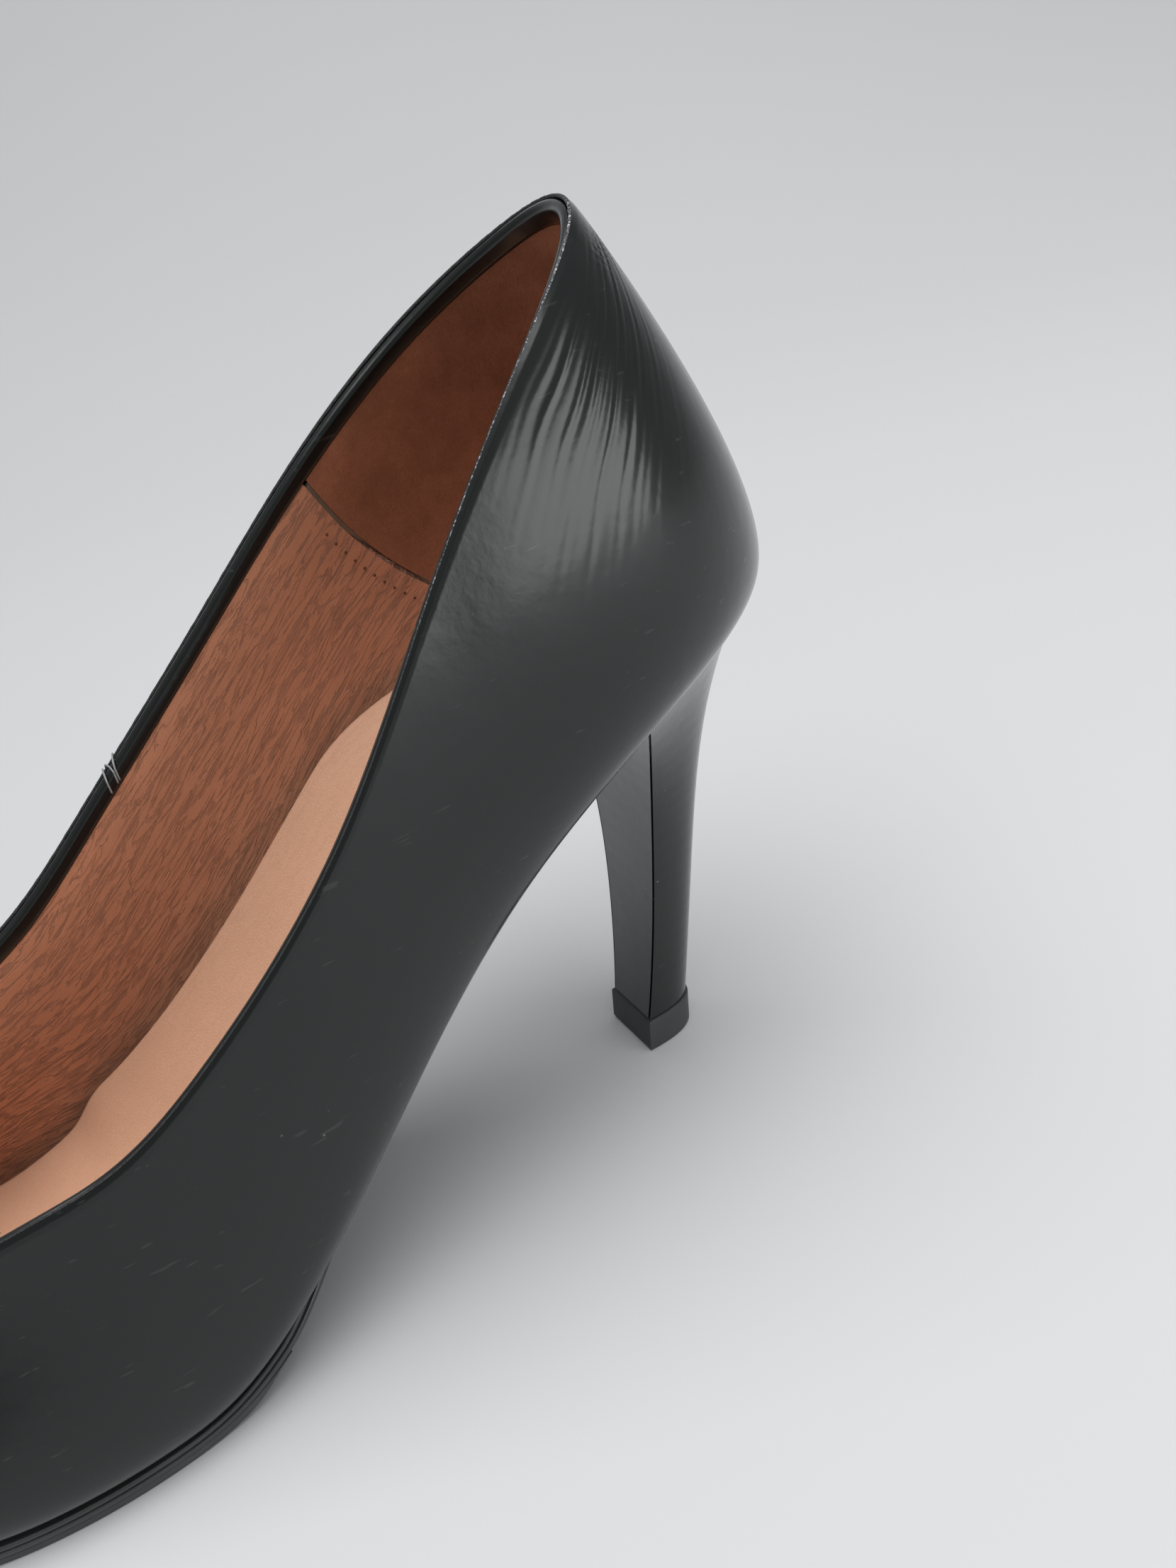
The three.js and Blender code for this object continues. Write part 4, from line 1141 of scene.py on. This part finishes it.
# ---------- what stays from the frame ----------
class PUMP_OT_inner_parts(bpy.types.Operator):
    """Finishes for the frame's own pieces: boards, stiffeners, foam, heel core and steel"""

    bl_idname = "pump.inner_parts"
    bl_label = "Inner parts"

    def execute(self, context):
        made = {
            "stiffener_cloth": plain("stiffener_cloth", (0.55, 0.5, 0.42), 0.9, 1500),
            "fibre_board": plain("pressed_fibre", (0.5, 0.42, 0.32), 0.85, 800),
            "foam": plain("footbed_foam", (0.8, 0.76, 0.68), 0.9, 2000),
            "heel_plastic": plain("heel_plastic", (0.05, 0.05, 0.055), 0.4, 500),
            "steel": plain("plain_steel", (0.6, 0.6, 0.62), 0.35, 700, 1.0, 0.00003),
        }
        slots = {row["node"]: row["material_slot"] for row in frame["record"]["subparts"]}
        for name, obj in frame["nodes"].items():
            if obj.hide_render:
                continue
            obj.data.materials.clear()
            obj.data.materials.append(made[slots[name]])
        return {"FINISHED"}


# ---------- stage ----------
CAMERA_PLACE = (203.0, 123.8, 180.3)
CAMERA_AZIMUTH, CAMERA_PITCH, CAMERA_ROLL = 22.74, 29.41, -14.05
FOCAL = 2003.0
FRAME_HEIGHT = 2212.0
SENSOR = 36


def sweep(reach):
    """Seamless floor that curves up into a wall behind the shoe."""
    bm = bmesh.new()
    bmesh.ops.create_grid(bm, x_segments=8, y_segments=80, size=0.5)
    azimuth = math.radians(CAMERA_AZIMUTH)
    away = np.array([-math.cos(azimuth), math.sin(azimuth)])
    across = np.array([away[1], -away[0]])
    radius, length = 1.4, 1.4 * math.pi / 2
    for vert in bm.verts:
        at = mix(-3.5, reach + length + 1.6, vert.co.y + 0.5)
        turn = min(max(at - reach, 0), length) / radius
        flat = min(at, reach) + radius * math.sin(turn)
        rise = radius * (1 - math.cos(turn)) + max(at - reach - length, 0)
        vert.co = (*(away * flat + across * vert.co.x * 8), rise)
    for face in bm.faces:
        face.smooth = True
    bmesh.ops.recalc_face_normals(bm, faces=bm.faces)
    if bm.faces[0].normal.z < 0:
        bmesh.ops.reverse_faces(bm, faces=bm.faces)
    mesh = bpy.data.meshes.new("floor")
    bm.to_mesh(mesh)
    bm.free()
    floor = bpy.data.objects.new("floor", mesh)
    bpy.context.scene.collection.objects.link(floor)
    return floor


def area_light(name, place, aim, size, power, color=(1, 1, 1)):
    data = bpy.data.lights.new(name, "AREA")
    data.shape = "RECTANGLE"
    data.size, data.size_y = size
    data.energy = power
    data.color = color
    obj = bpy.data.objects.new(name, data)
    bpy.context.scene.collection.objects.link(obj)
    obj.location = place
    obj.rotation_euler = (Vector(aim) - Vector(place)).to_track_quat("-Z", "Y").to_euler()
    return obj


class PUMP_OT_stage(bpy.types.Operator):
    """Pale floor, soft studio light and the camera"""

    bl_idname = "pump.stage"
    bl_label = "Stage"

    def execute(self, context):
        settings = context.scene.pump_stage
        scene = context.scene
        floor = sweep(settings.floor_reach)
        paper, tree, shader = material("floor_paper", settings.floor, 0.6, Specular_IOR_Level=0.2)
        where = coordinates(tree)
        mottled = noise(tree, where, 3, 3, 0.5)
        darker, lighter = (tuple(c * by for c in settings.floor) for by in (0.985, 1.01))
        tree.links.new(mixed(tree, mottled, darker, lighter), shader.inputs["Base Color"])
        floor.data.materials.append(paper)

        world_tree(scene)
        area_light("main_light", (0.1, 0.0, 1.5), (0, 0.05, 0), (1.6, 1.6), settings.main_power)
        area_light("side_light", (0.84, 0.5, 0.24), (0.02, 0.08, 0.1), (settings.softness, 0.42), 3.8)

        x, s, z = CAMERA_PLACE
        az, pitch, roll = (math.radians(v) for v in (CAMERA_AZIMUTH, CAMERA_PITCH, CAMERA_ROLL))
        forward = Vector((-math.cos(az) * math.cos(pitch), math.sin(az) * math.cos(pitch), -math.sin(pitch)))
        level = forward.cross(Vector((0, 0, 1))).normalized()
        upright = level.cross(forward)
        right = math.cos(roll) * level + math.sin(roll) * upright
        up = -math.sin(roll) * level + math.cos(roll) * upright
        data = bpy.data.cameras.new("camera")
        data.sensor_fit = "VERTICAL"
        data.sensor_height = data.sensor_width = SENSOR
        data.lens = FOCAL / FRAME_HEIGHT * SENSOR
        data.clip_start, data.clip_end = 0.01, 20
        camera = bpy.data.objects.new("camera", data)
        scene.collection.objects.link(camera)
        turn = Matrix((right, up, -forward)).transposed().to_4x4()
        camera.matrix_world = Matrix.Translation(Vector(world((x, s, z)))) @ turn
        scene.camera = camera
        scene.view_settings.view_transform = "Standard"
        return {"FINISHED"}


def world_tree(scene):
    room = bpy.data.worlds.new("studio")
    scene.world = room
    room.use_nodes = True
    tree = room.node_tree
    background = tree.nodes["Background"]
    source = tree.nodes.new("ShaderNodeTexCoord")
    split = tree.nodes.new("ShaderNodeSeparateXYZ")
    tree.links.new(source.outputs["Generated"], split.inputs[0])
    height = math_node(tree, "ADD", scaled(tree, split.outputs["Z"], 0.5), 0.5)
    tone = ramp(tree, height, (0.49, 0.36), (0.6, 0.32), (1.0, 0.5))
    tree.links.new(tone, background.inputs["Color"])
    background.inputs["Strength"].default_value = 0.8


OPERATORS = (
    PUMP_OT_upper, PUMP_OT_topline, PUMP_OT_linings, PUMP_OT_footbed, PUMP_OT_bottom,
    PUMP_OT_heel, PUMP_OT_heel_tip, PUMP_OT_inner_parts, PUMP_OT_stage,
)


class PUMP_PT_panel(bpy.types.Panel):
    """The pump's settings and the steps that build it"""

    bl_idname = "PUMP_PT_panel"
    bl_label = "Court pump"
    bl_space_type = "VIEW_3D"
    bl_region_type = "UI"
    bl_category = "Pump"

    def draw(self, context):
        scene = context.scene
        for title, group in SETTINGS.items():
            box = self.layout.box()
            box.label(text=title)
            for key in group.__annotations__:
                box.prop(getattr(scene, f"pump_{title.lower()}"), key)
        column = self.layout.column(align=True)
        for operator in OPERATORS:
            column.operator(operator.bl_idname)


SETTINGS = {"Patent": PumpPatent, "Lining": PumpLining, "Bottom": PumpBottom, "Stage": PumpStage}
CLASSES = (*SETTINGS.values(), *OPERATORS, PUMP_PT_panel)


def register():
    for cls in CLASSES:
        bpy.utils.register_class(cls)
    for title, group in SETTINGS.items():
        setattr(bpy.types.Scene, f"pump_{title.lower()}", bpy.props.PointerProperty(type=group))


def unregister():
    for title in SETTINGS:
        delattr(bpy.types.Scene, f"pump_{title.lower()}")
    for cls in reversed(CLASSES):
        bpy.utils.unregister_class(cls)


def main():
    register()
    for operator in OPERATORS:
        section, name = operator.bl_idname.split(".")
        getattr(getattr(bpy.ops, section), name)()


if __name__ == "__main__":
    main()
